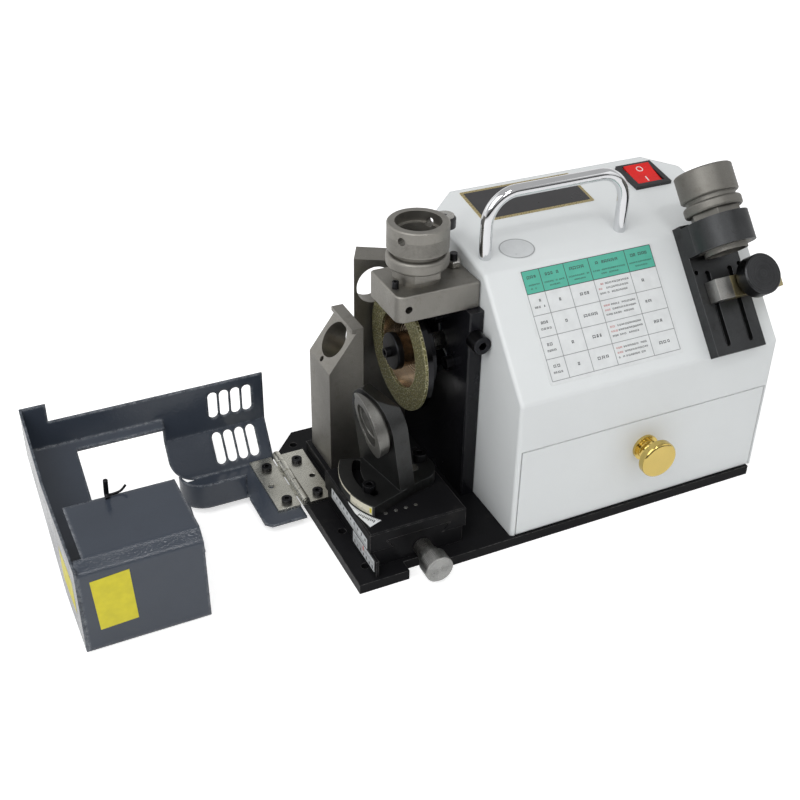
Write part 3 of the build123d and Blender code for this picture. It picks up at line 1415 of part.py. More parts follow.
with BuildPart() as jig_lock_screw:
    bar(plane_z(*lock_screw_at, foot_top - LOCK_SCREW_DEPTH), LOCK_SCREW_R, LOCK_SCREW_DEPTH)
    bar(plane_z(*lock_screw_at, foot_top), LOCK_SCREW_HEAD_R, LOCK_SCREW_HEAD_H)
    with BuildSketch(plane_z(*lock_screw_at, foot_top + LOCK_SCREW_HEAD_H)):
        RegularPolygon(LOCK_SCREW_R, 6)
    extrude(amount=-LOCK_SCREW_HEAD_H * 0.6, mode=Mode.SUBTRACT)

with BuildPart() as pivot_pin:
    bar(plane_z(*pivot, table_top - PIVOT_DEPTH), PIVOT_R, PIVOT_DEPTH + REST + FOOT_H)

# Hinge between the base plate and the guard
hinge_start = plane_y(hinge_x, hinge_y, hinge_z)


def knuckle(index, turn):
    """One hinge knuckle and the web that joins it to its leaf."""
    low = hinge_y + index * knuckle_pitch + KNUCKLE_GAP / 2
    high = low + knuckle_pitch - KNUCKLE_GAP
    bar(plane_y(hinge_x, low, hinge_z), KNUCKLE_R, high - low)
    reach = sorted((hinge_x, hinge_x + turn * leaf_clear))
    block(reach, (low, high), (deck, deck + LEAF_THICK))
    bar(plane_y(hinge_x, low, hinge_z), HINGE_PIN_R + RUN, high - low, Mode.SUBTRACT)


def leaf_holes(x, hole_x):
    """Screw holes and the spare hole of a hinge leaf."""
    with BuildSketch(Plane.XY.offset(deck)) as profile:
        with Locations(*[(x, y) for y in leaf_screw_ys]):
            Circle(LEAF_SCREW_R + HOLE)
        with Locations((hole_x, leaf_hole_y)):
            Circle(LEAF_HOLE_R)
    extrude(profile.sketch, amount=LEAF_THICK, mode=Mode.SUBTRACT)


with BuildPart() as hinge_base_leaf:
    leaf_left = hinge_x + leaf_clear
    block((leaf_left, leaf_left + BASE_LEAF_W), (hinge_y, hinge_y + HINGE_LENGTH), (deck, deck + LEAF_THICK))
    for i in range(0, KNUCKLE_COUNT, 2):
        knuckle(i, 1)
    leaf_holes(base_leaf_screw_x, base_leaf_screw_x + LEAF_HOLE_SHIFT)

with BuildPart() as hinge_guard_leaf:
    leaf_right = hinge_x - leaf_clear
    leaf_span = (leaf_right - GUARD_LEAF_W, leaf_right)
    block(leaf_span, (hinge_y, hinge_y + HINGE_LENGTH), (deck, deck + LEAF_THICK))
    for i in range(1, KNUCKLE_COUNT, 2):
        knuckle(i, -1)
    leaf_holes(guard_leaf_screw_x, guard_leaf_screw_x - LEAF_HOLE_SHIFT)

with BuildPart() as hinge_pin:
    bar(hinge_start, HINGE_PIN_R, HINGE_LENGTH)


def leaf_screws(x, depth):
    """Two cap screws with hexagon sockets in a hinge leaf."""
    with BuildSketch(Plane.XY.offset(deck + LEAF_THICK)) as profile:
        with Locations(*[(x, y) for y in leaf_screw_ys]):
            Circle(LEAF_SCREW_HEAD_R)
    extrude(profile.sketch, amount=LEAF_SCREW_HEAD_H)
    with BuildSketch(Plane.XY.offset(deck - depth)) as profile:
        with Locations(*[(x, y) for y in leaf_screw_ys]):
            Circle(LEAF_SCREW_R)
    extrude(profile.sketch, amount=depth + LEAF_THICK)
    with BuildSketch(Plane.XY.offset(deck + LEAF_THICK + LEAF_SCREW_HEAD_H)) as profile:
        with Locations(*[(x, y) for y in leaf_screw_ys]):
            RegularPolygon(LEAF_SCREW_R, 6)
    extrude(profile.sketch, amount=-LEAF_SCREW_HEAD_H * 0.6, mode=Mode.SUBTRACT)


with BuildPart() as hinge_base_screws:
    leaf_screws(base_leaf_screw_x, LEAF_SCREW_DEPTH)

with BuildPart() as hinge_guard_screws:
    leaf_screws(guard_leaf_screw_x, LEAF_SCREW_DEPTH / 2)

# Guard, folded from sheet, lying open on the left
guard_left = left - GUARD_LEFT
guard_mid = left - GUARD_MID
guard_right = hinge_x - LEAF_CLEAR - HINGE_OUT
back_y = front + GUARD_BACK_Y
tab_low = deck - GUARD_SHEET
bevel_foot = (front + BEVEL_FOOT_Y, deck - GUARD_SHEET)
tab_right = hinge_x - leaf_clear
bevel_run = back_y - bevel_foot[0]
bevel_rise = GUARD_BACK_LOW - bevel_foot[1]
bevel_size = hypot(bevel_run, bevel_rise)
bevel_mid = (left - VENT_SLOT_X, back_y - bevel_run / 2, GUARD_BACK_LOW - bevel_rise / 2)
bevel_normal = (0, -bevel_rise / bevel_size, bevel_run / bevel_size)
ear_r = (BEVEL_FOOT_Y - STRIP_Y) / 2
with BuildPart() as guard_shell:
    with BuildSketch(plane_x(guard_left, 0, 0)):
        Polygon(
            *folded(
                [
                    (back_y, GUARD_BACK_TOP),
                    (back_y, GUARD_BACK_BEND),
                    (front + GUARD_WEB_Y, GUARD_FLOOR),
                    (front + GUARD_FRONT_Y, GUARD_FLOOR),
                    (front + GUARD_FRONT_Y, GUARD_FRONT_BEND),
                    (front + GUARD_TOP_Y, GUARD_TOP_Z),
                    (front + GUARD_TOP_INNER_Y, GUARD_TOP_Z),
                ],
                GUARD_SHEET,
            ),
            align=None,
        )
    extrude(amount=GUARD_LEFT - GUARD_MID)
    bends = guard_shell.edges().filter_by(Axis.X)
    bend_low = GUARD_FRONT_BEND - GUARD_SHEET
    bend_back = front + GUARD_TOP_Y + GUARD_SHEET
    bends = bends.filter_by(lambda e: e.center().Z > bend_low and e.center().Y < bend_back)
    fillet(bends, radius=GUARD_BEND_R)
    with BuildSketch(plane_y(left, front + GUARD_FRONT_Y, 0)):
        Polygon(
            (-GUARD_FRONT_RIGHT, -GUARD_FLOOR),
            (-GUARD_BEND_RIGHT, -GUARD_TOP_Z),
            (-GUARD_MID, -GUARD_TOP_Z),
            (-GUARD_MID, -GUARD_FLOOR),
            align=None,
        )
    extrude(amount=GUARD_TOP_Y - GUARD_FRONT_Y + GUARD_SHEET, mode=Mode.SUBTRACT)
    block(
        (left - GUARD_FRONT_RIGHT, guard_mid),
        (front + GUARD_TOP_Y, front + GUARD_WEB_Y),
        (GUARD_FLOOR, GUARD_FRONT_BEND),
        Mode.SUBTRACT,
    )
    with BuildSketch(Plane.XY.offset(GUARD_FRONT_BEND)):
        Polygon(
            (left - GUARD_BEND_RIGHT, front + GUARD_TOP_Y),
            (left - GUARD_TOP_RIGHT, front + GUARD_TOP_INNER_Y),
            (guard_mid, front + GUARD_TOP_INNER_Y),
            (guard_mid, front + GUARD_TOP_Y),
            align=None,
        )
    extrude(amount=GUARD_TOP_Z - GUARD_FRONT_BEND, mode=Mode.SUBTRACT)
    block(
        (guard_left, left - GUARD_TOP_LEFT),
        (front + GUARD_TOP_Y, front + GUARD_TOP_INNER_Y),
        (GUARD_TOP_Z - 2 * GUARD_SHEET, GUARD_TOP_Z),
        Mode.SUBTRACT,
    )
    block(
        (left - WINDOW_LEFT, guard_mid),
        (front + WINDOW_FRONT_Y, front + WINDOW_BACK_Y),
        (GUARD_FLOOR, GUARD_BACK_TOP),
        Mode.SUBTRACT,
    )
    with BuildSketch(plane_x(guard_mid, 0, 0)):
        Polygon(
            *folded(
                [
                    (back_y, GUARD_BACK_TOP),
                    (back_y, GUARD_BACK_LOW),
                    bevel_foot,
                    (front + STRIP_Y, tab_low),
                ],
                GUARD_SHEET,
            ),
            align=None,
        )
    extrude(amount=guard_right - guard_mid)
    with BuildSketch(Plane.XY.offset(tab_low)):
        with Locations((guard_mid, front + STRIP_Y)):
            Rectangle(ear_r, 2 * ear_r, align=Align.MIN)
        with Locations((guard_mid + ear_r, front + STRIP_Y + ear_r)):
            Circle(ear_r, mode=Mode.SUBTRACT)
    extrude(amount=GUARD_SHEET, mode=Mode.SUBTRACT)
    with BuildSketch(Plane(origin=(guard_mid, *bevel_foot), x_dir=(1, 0, 0), z_dir=bevel_normal)):
        Rectangle(ear_r, ear_r, align=Align.MIN)
        with Locations((ear_r, ear_r)):
            Circle(ear_r, mode=Mode.SUBTRACT)
    extrude(amount=2 * GUARD_SHEET, both=True, mode=Mode.SUBTRACT)
    with BuildSketch(Plane.XY.offset(tab_low)):
        with Locations((guard_mid + ear_r, front + STRIP_Y + ear_r)):
            Circle(ear_r)
            Circle(ear_r - GUARD_SHEET, mode=Mode.SUBTRACT)
            Rectangle(ear_r, ear_r, align=Align.MAX, mode=Mode.INTERSECT)
    extrude(amount=LIP_H)
    block(
        (guard_mid + ear_r, left - TAB_LEFT),
        (front + STRIP_Y, front + STRIP_Y + GUARD_SHEET),
        (tab_low, tab_low + LIP_H),
    )
    block(
        (tab_right, guard_right),
        (front + STRIP_Y, bevel_foot[0]),
        (tab_low, deck),
        Mode.SUBTRACT,
    )
    with BuildSketch(Plane.XY.offset(tab_low)):
        Polygon(
            (tab_right, bevel_foot[0]),
            (left - STRIP_RIGHT, bevel_foot[0]),
            (left - TAB_LEFT, front + END_MID_Y),
            (left - TAB_LEFT, front + TAB_Y + TAB_LEFT / 8),
            (left - TAB_LEFT + TAB_LEFT / 8, front + TAB_Y),
            (tab_right, front + TAB_Y),
            align=None,
        )
    extrude(amount=GUARD_SHEET)
    block(
        (guard_left, left - HORN_RIGHT),
        (back_y - GUARD_SHEET, back_y),
        (GUARD_BACK_TOP, HORN_TOP),
    )
    with BuildSketch(plane_y(left - VENT_SLOT_X, back_y - GUARD_SHEET, VENT_SLOT_Z)):
        with GridLocations(VENT_SLOT_PITCH, VENT_SLOT_PITCH, VENT_SLOT_COUNT, 1):
            SlotOverall(VENT_SLOT_H, VENT_SLOT_W, rotation=90)
    extrude(amount=GUARD_SHEET, mode=Mode.SUBTRACT)
    with BuildSketch(Plane(origin=bevel_mid, x_dir=(1, 0, 0), z_dir=bevel_normal)):
        with Locations((0, BEVEL_SLOT_UP)):
            with GridLocations(VENT_SLOT_PITCH, VENT_SLOT_PITCH, VENT_SLOT_COUNT, 1):
                SlotOverall(bevel_size * BEVEL_SLOT_PART, VENT_SLOT_W, rotation=90)
    extrude(amount=2 * GUARD_SHEET, both=True, mode=Mode.SUBTRACT)
    with BuildSketch(Plane.XY.offset(tab_low)):
        with Locations(*[(guard_leaf_screw_x, y) for y in leaf_screw_ys]):
            Circle(LEAF_SCREW_R + GRIP)
        with Locations((guard_leaf_screw_x - LEAF_HOLE_SHIFT, leaf_hole_y)):
            Circle(LEAF_HOLE_R)
    extrude(amount=GUARD_SHEET, mode=Mode.SUBTRACT)

with BuildPart() as guard_end_plate:
    with BuildSketch(plane_x(guard_left - GUARD_SHEET, 0, 0)):
        Polygon(
            (back_y, HORN_TOP),
            (front + END_MID_Y, END_LOW_Z),
            (front + GUARD_WEB_Y, END_LOW_Z),
            (front + GUARD_FRONT_Y, END_FRONT_Z),
            (front + GUARD_FRONT_Y, GUARD_FLOOR),
            (front + GUARD_WEB_Y, GUARD_FLOOR),
            (back_y, END_BACK_LOW),
            align=None,
        )
    extrude(amount=GUARD_SHEET)

# Setting gauge on the sloping front
gauge_left = gauge_mid - GAUGE_W / 2
gauge_right = gauge_mid + GAUGE_W / 2


def along_slope(t):
    """Plane across the gauge's axis, facing up the slope, at a distance up the slope."""
    start = on_slope(CLAMP_AXIS).from_local_coords((gauge_mid, t, 0))
    return Plane(origin=start, x_dir=(1, 0, 0), z_dir=(0, cos(slope_angle), sin(slope_angle)))


with BuildPart() as gauge_bracket:
    slab(on_slope(0), (gauge_left, gauge_right), (GAUGE_FROM, GAUGE_TO), GAUGE_PLATE)
    slab(on_slope(0), (gauge_left, gauge_right), (CLAMP_FROM, CLAMP_TO), CLAMP_AXIS)
    bar(along_slope(CLAMP_FROM), CLAMP_RING_R, CLAMP_TO - CLAMP_FROM)
    bar(along_slope(CLAMP_FROM), SLEEVE_R, CLAMP_TO - CLAMP_FROM, Mode.SUBTRACT)
    bar(
        along_slope(SLEEVE_FROM - SLEEVE_POCKET_GAP),
        STUB_R + SLEEVE_POCKET_GAP,
        CLAMP_FROM - SLEEVE_FROM + SLEEVE_POCKET_GAP,
        Mode.SUBTRACT,
    )
    bar(along_slope(CLAMP_TO), SLEEVE_R + SLEEVE_POCKET_GAP, GAUGE_TO - CLAMP_TO, Mode.SUBTRACT)
    with BuildSketch(on_slope(GAUGE_PLATE)):
        with Locations((gauge_mid, (GAUGE_GROOVE_FROM + GAUGE_GROOVE_TO) / 2)):
            with GridLocations(GROOVE_PITCH, GROOVE_PITCH, 2, 1):
                SlotOverall(GAUGE_GROOVE_TO - GAUGE_GROOVE_FROM, GAUGE_GROOVE_W, rotation=90)
    extrude(amount=-GAUGE_GROOVE_D, mode=Mode.SUBTRACT)
    with BuildSketch(on_slope(0)):
        with Locations(*gauge_screw_places):
            Circle(GAUGE_SCREW_R + GRIP)
    extrude(amount=GAUGE_SCREW_DEPTH - HOLE, mode=Mode.SUBTRACT)
    with BuildSketch(on_slope(GAUGE_PLATE)):
        with Locations(
            (gauge_mid - GAUGE_PIN_HOLE_PITCH / 2, GAUGE_PIN_HOLE_T),
            (gauge_mid + GAUGE_PIN_HOLE_PITCH / 2, GAUGE_PIN_HOLE_T),
        ):
            Circle(GAUGE_PIN_HOLE_R)
    extrude(amount=-GAUGE_PLATE / 2, mode=Mode.SUBTRACT)

with BuildPart() as gauge_screws:
    with BuildSketch(on_slope(-SHEET - GAUGE_SCREW_HEAD_L)):
        with Locations(*gauge_screw_places):
            Circle(GAUGE_SCREW_HEAD_R)
    extrude(amount=GAUGE_SCREW_HEAD_L)
    with BuildSketch(on_slope(-SHEET)):
        with Locations(*gauge_screw_places):
            Circle(GAUGE_SCREW_R)
    extrude(amount=SHEET + GAUGE_SCREW_DEPTH - 2 * HOLE)

ring_a = GAUGE_TO + RING_A_GAP
neck_t = ring_a + RING_A_L
ring_b = neck_t + RING_NECK_L
with BuildPart() as gauge_seat:
    ring(along_slope(ring_a), RING_R, SLEEVE_BORE_R, RING_A_L)
    rims = gauge_seat.edges().filter_by(GeomType.CIRCLE)
    fillet(rims.filter_by(lambda e: abs(e.radius - RING_R) < RUN), radius=RING_A_ROUND)
    ring(along_slope(SLEEVE_FROM), STUB_R, SLEEVE_BORE_R, CLAMP_FROM - SLEEVE_FROM)
    ring(along_slope(CLAMP_FROM), SLEEVE_R, SLEEVE_BORE_R, CLAMP_TO - CLAMP_FROM)
    with BuildSketch(along_slope(CLAMP_TO)):
        RegularPolygon(RING_HEX_FLAT_R, 6, major_radius=False)
        Circle(SLEEVE_BORE_R, mode=Mode.SUBTRACT)
    extrude(amount=ring_a - CLAMP_TO)
    ring(along_slope(neck_t), RING_NECK_R, SLEEVE_BORE_R, RING_NECK_L)
    ring(along_slope(ring_b), RING_R, SLEEVE_BORE_R, RING_B_L)
    rims = gauge_seat.edges().filter_by(GeomType.CIRCLE)
    rims = rims.filter_by(lambda e: abs(e.radius - RING_R) < RUN).sort_by(Axis.Z)
    chamfer(rims[-2:], length=SEAT_EDGE)

stop_low = GAUGE_PLATE + SLIDE
stop_left = gauge_mid - STOP_LEFT
stop_mid = stop_left + STOP_STEEL_W
stop_right = stop_mid + STOP_BRASS_W
thumb_at = (gauge_mid + THUMB_X, STOP_FROM + THUMB_T)
with BuildPart() as stop_block:
    slab(on_slope(stop_low), (stop_left, stop_mid), (STOP_FROM, STOP_FROM + STOP_L), STOP_H)
    tongue_mid = gauge_mid - GROOVE_PITCH / 2
    tongue_half = GAUGE_GROOVE_W / 2 - TONGUE_FIT
    slab(
        on_slope(stop_low),
        (tongue_mid - tongue_half, tongue_mid + tongue_half),
        (STOP_FROM, STOP_FROM + STOP_L),
        -TONGUE_DEEP,
    )

with BuildPart() as stop_brass:
    slab(on_slope(stop_low), (stop_mid, stop_right), (STOP_FROM, STOP_FROM + STOP_L), STOP_H)
    tongue_mid = gauge_mid + GROOVE_PITCH / 2
    slab(
        on_slope(stop_low),
        (tongue_mid - tongue_half, tongue_mid + tongue_half),
        (STOP_FROM, STOP_FROM + STOP_L),
        -TONGUE_DEEP,
    )
    bar(
        moved(on_slope(stop_low + STOP_H), *thumb_at),
        THUMB_STEM_R + RUN,
        -THUMB_STEM_DEPTH - HOLE,
        Mode.SUBTRACT,
    )

with BuildPart() as thumb_screw:
    bar(moved(on_slope(stop_low + STOP_H + THUMB_GAP), *thumb_at), THUMB_R, THUMB_H)
    chamfer(thumb_screw.edges().filter_by(GeomType.CIRCLE), length=SEAT_EDGE)
    bar(
        moved(on_slope(stop_low + STOP_H - THUMB_STEM_DEPTH), *thumb_at),
        THUMB_STEM_R,
        THUMB_STEM_DEPTH + THUMB_GAP,
    )

# Write each piece
pieces = {
    "base_plate": base_plate,
    "base_screws": base_screws,
    "side_plate": side_plate,
    "edge_screw": edge_screw,
    "grit_ring": grit_ring,
    "wheel_core": wheel_core,
    "wheel_flange": wheel_flange,
    "wheel_screw": wheel_screw,
    "motor_shaft": motor_shaft,
    "motor_rotor": motor_rotor,
    "motor_can": motor_can,
    "motor_stator": motor_stator,
    "motor_bells": motor_bells,
    "motor_bearings": motor_bearings,
    "motor_screws": motor_screws,
    "run_capacitor": run_capacitor,
    "housing_shell": housing_shell,
    "cable_gland": cable_gland,
    "drawer_runners": drawer_runners,
    "drawer_front": drawer_front,
    "drawer_tray": drawer_tray,
    "drawer_knob": drawer_knob,
    "knob_screw": knob_screw,
    "carry_handle": carry_handle,
    "handle_screws": handle_screws,
    "switch_frame": switch_frame,
    "rocker_button": rocker_button,
    "seat_plate": seat_plate,
    "seat_stud": seat_stud,
    "seat_nut": seat_nut,
    "lock_knob": lock_knob,
    "seat_collar": seat_collar,
    "seat_ring": seat_ring,
    "rear_plate": rear_plate,
    "post_riser": post_riser,
    "post": post,
    "slide_base": slide_base,
    "slide_table": slide_table,
    "stop_pins": stop_pins,
    "feed_nut": feed_nut,
    "feed_screw": feed_screw,
    "feed_knob": feed_knob,
    "jig_body": jig_body,
    "jig_ring": jig_ring,
    "jig_clamp_screw": jig_clamp_screw,
    "jig_lock_screw": jig_lock_screw,
    "pivot_pin": pivot_pin,
    "hinge_base_leaf": hinge_base_leaf,
    "hinge_guard_leaf": hinge_guard_leaf,
    "hinge_pin": hinge_pin,
    "hinge_base_screws": hinge_base_screws,
    "hinge_guard_screws": hinge_guard_screws,
    "guard_shell": guard_shell,
    "guard_end_plate": guard_end_plate,
    "gauge_bracket": gauge_bracket,
    "gauge_screws": gauge_screws,
    "gauge_seat": gauge_seat,
    "stop_block": stop_block,
    "stop_brass": stop_brass,
    "thumb_screw": thumb_screw,
}
os.makedirs("parts", exist_ok=True)
for name, piece in pieces.items():
    piece.part.label = name
    export_step(piece.part, f"parts/{name}.step")
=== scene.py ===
import json
import random
from math import atan2, cos, pi, radians, sin

import bmesh
import bpy
from mathutils import Matrix, Vector


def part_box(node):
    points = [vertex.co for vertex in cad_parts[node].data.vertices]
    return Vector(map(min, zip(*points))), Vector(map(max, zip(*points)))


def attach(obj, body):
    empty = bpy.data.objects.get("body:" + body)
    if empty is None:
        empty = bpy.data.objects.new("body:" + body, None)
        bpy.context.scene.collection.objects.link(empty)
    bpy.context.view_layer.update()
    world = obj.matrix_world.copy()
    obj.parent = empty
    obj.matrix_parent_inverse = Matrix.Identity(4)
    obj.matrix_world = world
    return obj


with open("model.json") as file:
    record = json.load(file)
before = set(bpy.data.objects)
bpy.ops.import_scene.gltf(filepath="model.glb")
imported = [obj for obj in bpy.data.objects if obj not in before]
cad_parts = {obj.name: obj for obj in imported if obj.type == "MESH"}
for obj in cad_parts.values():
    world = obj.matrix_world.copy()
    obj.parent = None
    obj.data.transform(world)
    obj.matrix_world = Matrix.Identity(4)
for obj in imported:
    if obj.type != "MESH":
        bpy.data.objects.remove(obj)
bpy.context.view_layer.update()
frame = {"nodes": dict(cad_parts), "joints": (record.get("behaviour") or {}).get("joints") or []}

MM = 0.001
nodes = frame["nodes"]

ACROSS = (1, 0, 0)
DEEP = (0, 1, 0)
FORWARD = (0, -1, 0)
UPRIGHT = (0, 0, 1)

# Bends of the housing in metres: foot of the slope, crease below the top, and ridge at the back
SLOPE_FOOT = Vector((0, -0.083, 0.1085))
CREASE = Vector((0, -0.028, 0.172))
RIDGE = Vector((0, 0.061, 0.187))


def axes(origin, across, up):
    """Frame with its first axis across, its second up and its third out of the surface."""
    x = Vector(across).normalized()
    y = Vector(up).normalized()
    z = x.cross(y)
    return Matrix((
        (x.x, y.x, z.x, origin[0]),
        (x.y, y.y, z.y, origin[1]),
        (x.z, y.z, z.z, origin[2]),
        (0, 0, 0, 1),
    ))


def mid_of(corners):
    """Middle between a box's low and high corner."""
    return (corners[0] + corners[1]) / 2


def link(made):
    bpy.context.scene.collection.objects.link(made)


SLOPE = axes(SLOPE_FOOT, ACROSS, CREASE - SLOPE_FOOT)
TOP = axes(CREASE, ACROSS, RIDGE - CREASE)


# Materials, with lengths in metres and the scales of noise in lumps to the metre

NOISE_SPAN = (0.3, 0.7)
EDGE_COSINES = (0.86, 0.99)
BEVEL_SAMPLES = 6


def shade(colour, factor):
    """The colour made darker or brighter."""
    return tuple(min(1, max(0, c * factor)) for c in colour)


def around(rough, less, more, least=0.0):
    """Range of roughness round a value."""
    return max(least, rough - less), rough + more


class Shader:
    """A material under construction: its nodes, and the Principled shader that they feed."""

    def __init__(self, name):
        self.material = bpy.data.materials.new(name)
        self.material.use_nodes = True
        self.tree = self.material.node_tree
        self.surface = self.tree.nodes["Principled BSDF"]
        self.place = self.add("ShaderNodeTexCoord").outputs["Object"]

    def add(self, kind, **values):
        """New node with its settings and its sockets' values."""
        made = self.tree.nodes.new(kind)
        for key, value in values.items():
            if hasattr(made, key):
                setattr(made, key, value)
            else:
                made.inputs[key].default_value = value
        return made

    def join(self, source, target):
        self.tree.links.new(source, target)

    def feed(self, made, terms):
        """Terms for a node's first inputs: sockets are linked and values are set."""
        for term, target in zip(terms, made.inputs):
            if isinstance(term, bpy.types.NodeSocket):
                self.join(term, target)
            else:
                target.default_value = term
        return made

    def math(self, operation, *terms):
        return self.feed(self.add("ShaderNodeMath", operation=operation), terms).outputs["Value"]

    def vector(self, operation, *terms):
        return self.feed(self.add("ShaderNodeVectorMath", operation=operation), terms).outputs

    def set(self, **values):
        """Constants on the shader's own sockets, with spaces written as underscores."""
        for key, value in values.items():
            self.surface.inputs[key.replace("_", " ")].default_value = value

    def noise(self, scale, detail=3.0, stretch=None, rough=0.55):
        """Noise over the object, with its coordinates stretched on request."""
        made = self.add("ShaderNodeTexNoise", Scale=scale, Detail=detail, Roughness=rough)
        place = self.place
        if stretch:
            mapping = self.add("ShaderNodeMapping", Scale=stretch)
            self.join(place, mapping.inputs["Vector"])
            place = mapping.outputs["Vector"]
        self.join(place, made.inputs["Vector"])
        return made.outputs["Fac"]

    def spread(self, source, span, target):
        """The source's values within a span, laid over a target range."""
        made = self.add("ShaderNodeMapRange", clamp=True)
        keys = ("From Min", "From Max", "To Min", "To Max")
        for key, value in zip(keys, (*span, *target)):
            made.inputs[key].default_value = value
        self.join(source, made.inputs["Value"])
        return made.outputs["Result"]

    def mottle(self, scale, detail, target=(0, 1), stretch=None):
        """Noise laid over a target range."""
        return self.spread(self.noise(scale, detail, stretch), NOISE_SPAN, target)

    def stains(self, scale, span, most, rough=0.75):
        """Mask of scattered spots."""
        return self.spread(self.noise(scale, detail=6, rough=rough), span, (0, most))

    def blend(self, amount, first, second):
        """Colour between two colours or colour sockets."""
        made = self.add("ShaderNodeMix", data_type="RGBA")
        self.join(amount, made.inputs["Factor"])
        for socket, colour in ((made.inputs[6], first), (made.inputs[7], second)):
            if isinstance(colour, tuple):
                socket.default_value = (*colour, 1)
            else:
                self.join(colour, socket)
        return made.outputs[2]

    def tones(self, amount, base, low, high):
        """Colour between two shades of a base colour."""
        return self.blend(amount, shade(base, low), shade(base, high))

    def split(self):
        """Coordinates of the place on the object."""
        made = self.add("ShaderNodeSeparateXYZ")
        self.join(self.place, made.inputs["Vector"])
        return made.outputs

    def angle(self, first, second, centre):
        """Angle round a point in the plane of two coordinates."""
        place = self.split()
        away = [self.math("SUBTRACT", place[axis], value) for axis, value in zip((first, second), centre)]
        return self.math("ARCTAN2", *away)

    def rounded(self, radius):
        """Normal with the edges rounded off."""
        return self.add("ShaderNodeBevel", samples=BEVEL_SAMPLES, Radius=radius).outputs["Normal"]

    def edges(self, radius):
        """Mask that is 1 along the edges."""
        straight = self.add("ShaderNodeNewGeometry").outputs["Normal"]
        cosine = self.vector("DOT_PRODUCT", self.rounded(radius), straight)["Value"]
        return self.spread(cosine, EDGE_COSINES, (1, 0))

    def rubbed(self, radius, amount):
        """Mask of the edges weighed by an amount: worn edges, and painted highlight where a brighter colour
        is laid on them.
        """
        return self.math("MULTIPLY", self.edges(radius), amount)

    def bumps(self, height, strength, depth, radius):
        """Bumps on rounded edges, into the shader's normal."""
        made = self.add("ShaderNodeBump", Strength=strength, Distance=depth)
        self.join(height, made.inputs["Height"])
        self.join(self.rounded(radius), made.inputs["Normal"])
        self.join(made.outputs["Normal"], self.surface.inputs["Normal"])

    def colour(self, source):
        self.join(source, self.surface.inputs["Base Color"])

    def roughness(self, source):
        self.join(source, self.surface.inputs["Roughness"])


def painted(name, base, rough, grain, depth, worn, wear, radius=0.0008, vary=0.08, gloss=0.5, stain=None):
    """Paint with a fine skin, uneven colour, stains on request, and edges worn through."""
    s = Shader(name)
    s.set(Specular_IOR_Level=gloss)
    body = s.tones(s.mottle(scale=14, detail=4), base, 1 - vary, 1 + vary)
    if stain:
        body = s.blend(s.stains(60, (0.56, 0.72), most=0.55, rough=0.7), body, stain)
    patches = s.noise(scale=240, detail=5, rough=0.7)
    patchy = s.spread(patches, (0.5 - wear * 0.2, 0.62), (0, wear))
    s.colour(s.blend(s.rubbed(radius * 0.9, patchy), body, worn))
    s.roughness(s.mottle(scale=45, detail=4, target=around(rough, less=0.08, more=0.08, least=0.05)))
    s.bumps(s.noise(grain, detail=2), strength=0.6, depth=depth, radius=radius)
    return s.material


def metal(name, base, rough, grain, depth, stretch=None, vary=0.12, stain=None, painted_highlight=1.35):
    """Bare metal with its grain, drawn out where it is brushed, stains on request, and edges painted
    brighter: wear and painted highlight.
    """
    radius = 0.0004
    s = Shader(name)
    s.set(Metallic=1.0)
    broad = s.mottle(scale=55, detail=5)
    body = s.tones(broad, base, 1 - vary, 1 + vary)
    streak = s.noise(grain, detail=3, stretch=stretch)
    body = s.blend(s.spread(streak, (0.35, 0.65), (0, 0.5)), body, shade(base, 0.82))
    if stain:
        body = s.blend(s.stains(130, (0.55, 0.75), most=0.7), body, stain)
    # Edges painted brighter by a factor: partly wear, partly painted highlight
    worn = s.rubbed(radius, s.spread(broad, (0, 1), (0.3, 0.8)))
    s.colour(s.blend(worn, body, shade(base, painted_highlight)))
    s.roughness(s.spread(streak, NOISE_SPAN, around(rough, less=0.1, more=0.1, least=0.03)))
    s.bumps(streak, strength=0.5, depth=depth, radius=radius)
    return s.material


def polished(name, base, rough, vary=0.04):
    """Plated metal with a mirror finish: faint wipe marks and a slow ripple."""
    s = Shader(name)
    s.set(Metallic=1.0)
    s.colour(s.tones(s.mottle(scale=25, detail=3), base, 1 - vary, 1 + vary))
    wiped = s.noise(scale=70, detail=5, stretch=(1, 1, 6), rough=0.7)
    s.roughness(s.spread(wiped, (0.4, 0.75), (rough, rough * 2.2)))
    s.bumps(s.noise(scale=40, detail=1), strength=0.2, depth=0.00005, radius=0.0003)
    return s.material


def plastic(name, base, rough, gloss=0.5):
    """Moulded plastic with a fine skin and dulled edges."""
    s = Shader(name)
    s.set(Specular_IOR_Level=gloss)
    body = s.tones(s.mottle(scale=80, detail=4), base, 0.9, 1.1)
    dulled = tuple(c * 0.8 + 0.06 for c in base)
    worn = s.rubbed(radius=0.0005, amount=s.spread(s.noise(scale=300), (0.4, 0.7), (0.1, 0.7)))
    s.colour(s.blend(worn, body, dulled))
    s.roughness(s.mottle(scale=120, detail=5, target=around(rough, less=0.06, more=0.1, least=0.04)))
    s.bumps(s.noise(scale=1500, detail=2), strength=0.4, depth=0.00002, radius=0.0006)
    return s.material


def printed(name, base, rough=0.45, vary=0.05):
    """Printed film: slightly mottled ink with a faint ripple."""
    s = Shader(name)
    s.colour(s.tones(s.mottle(scale=160, detail=5), base, 1 - vary, 1 + vary))
    s.roughness(s.mottle(scale=50, detail=3, target=around(rough, less=0.12, more=0.12)))
    s.bumps(s.noise(scale=90, detail=2), strength=0.3, depth=0.00008, radius=0.0002)
    return s.material


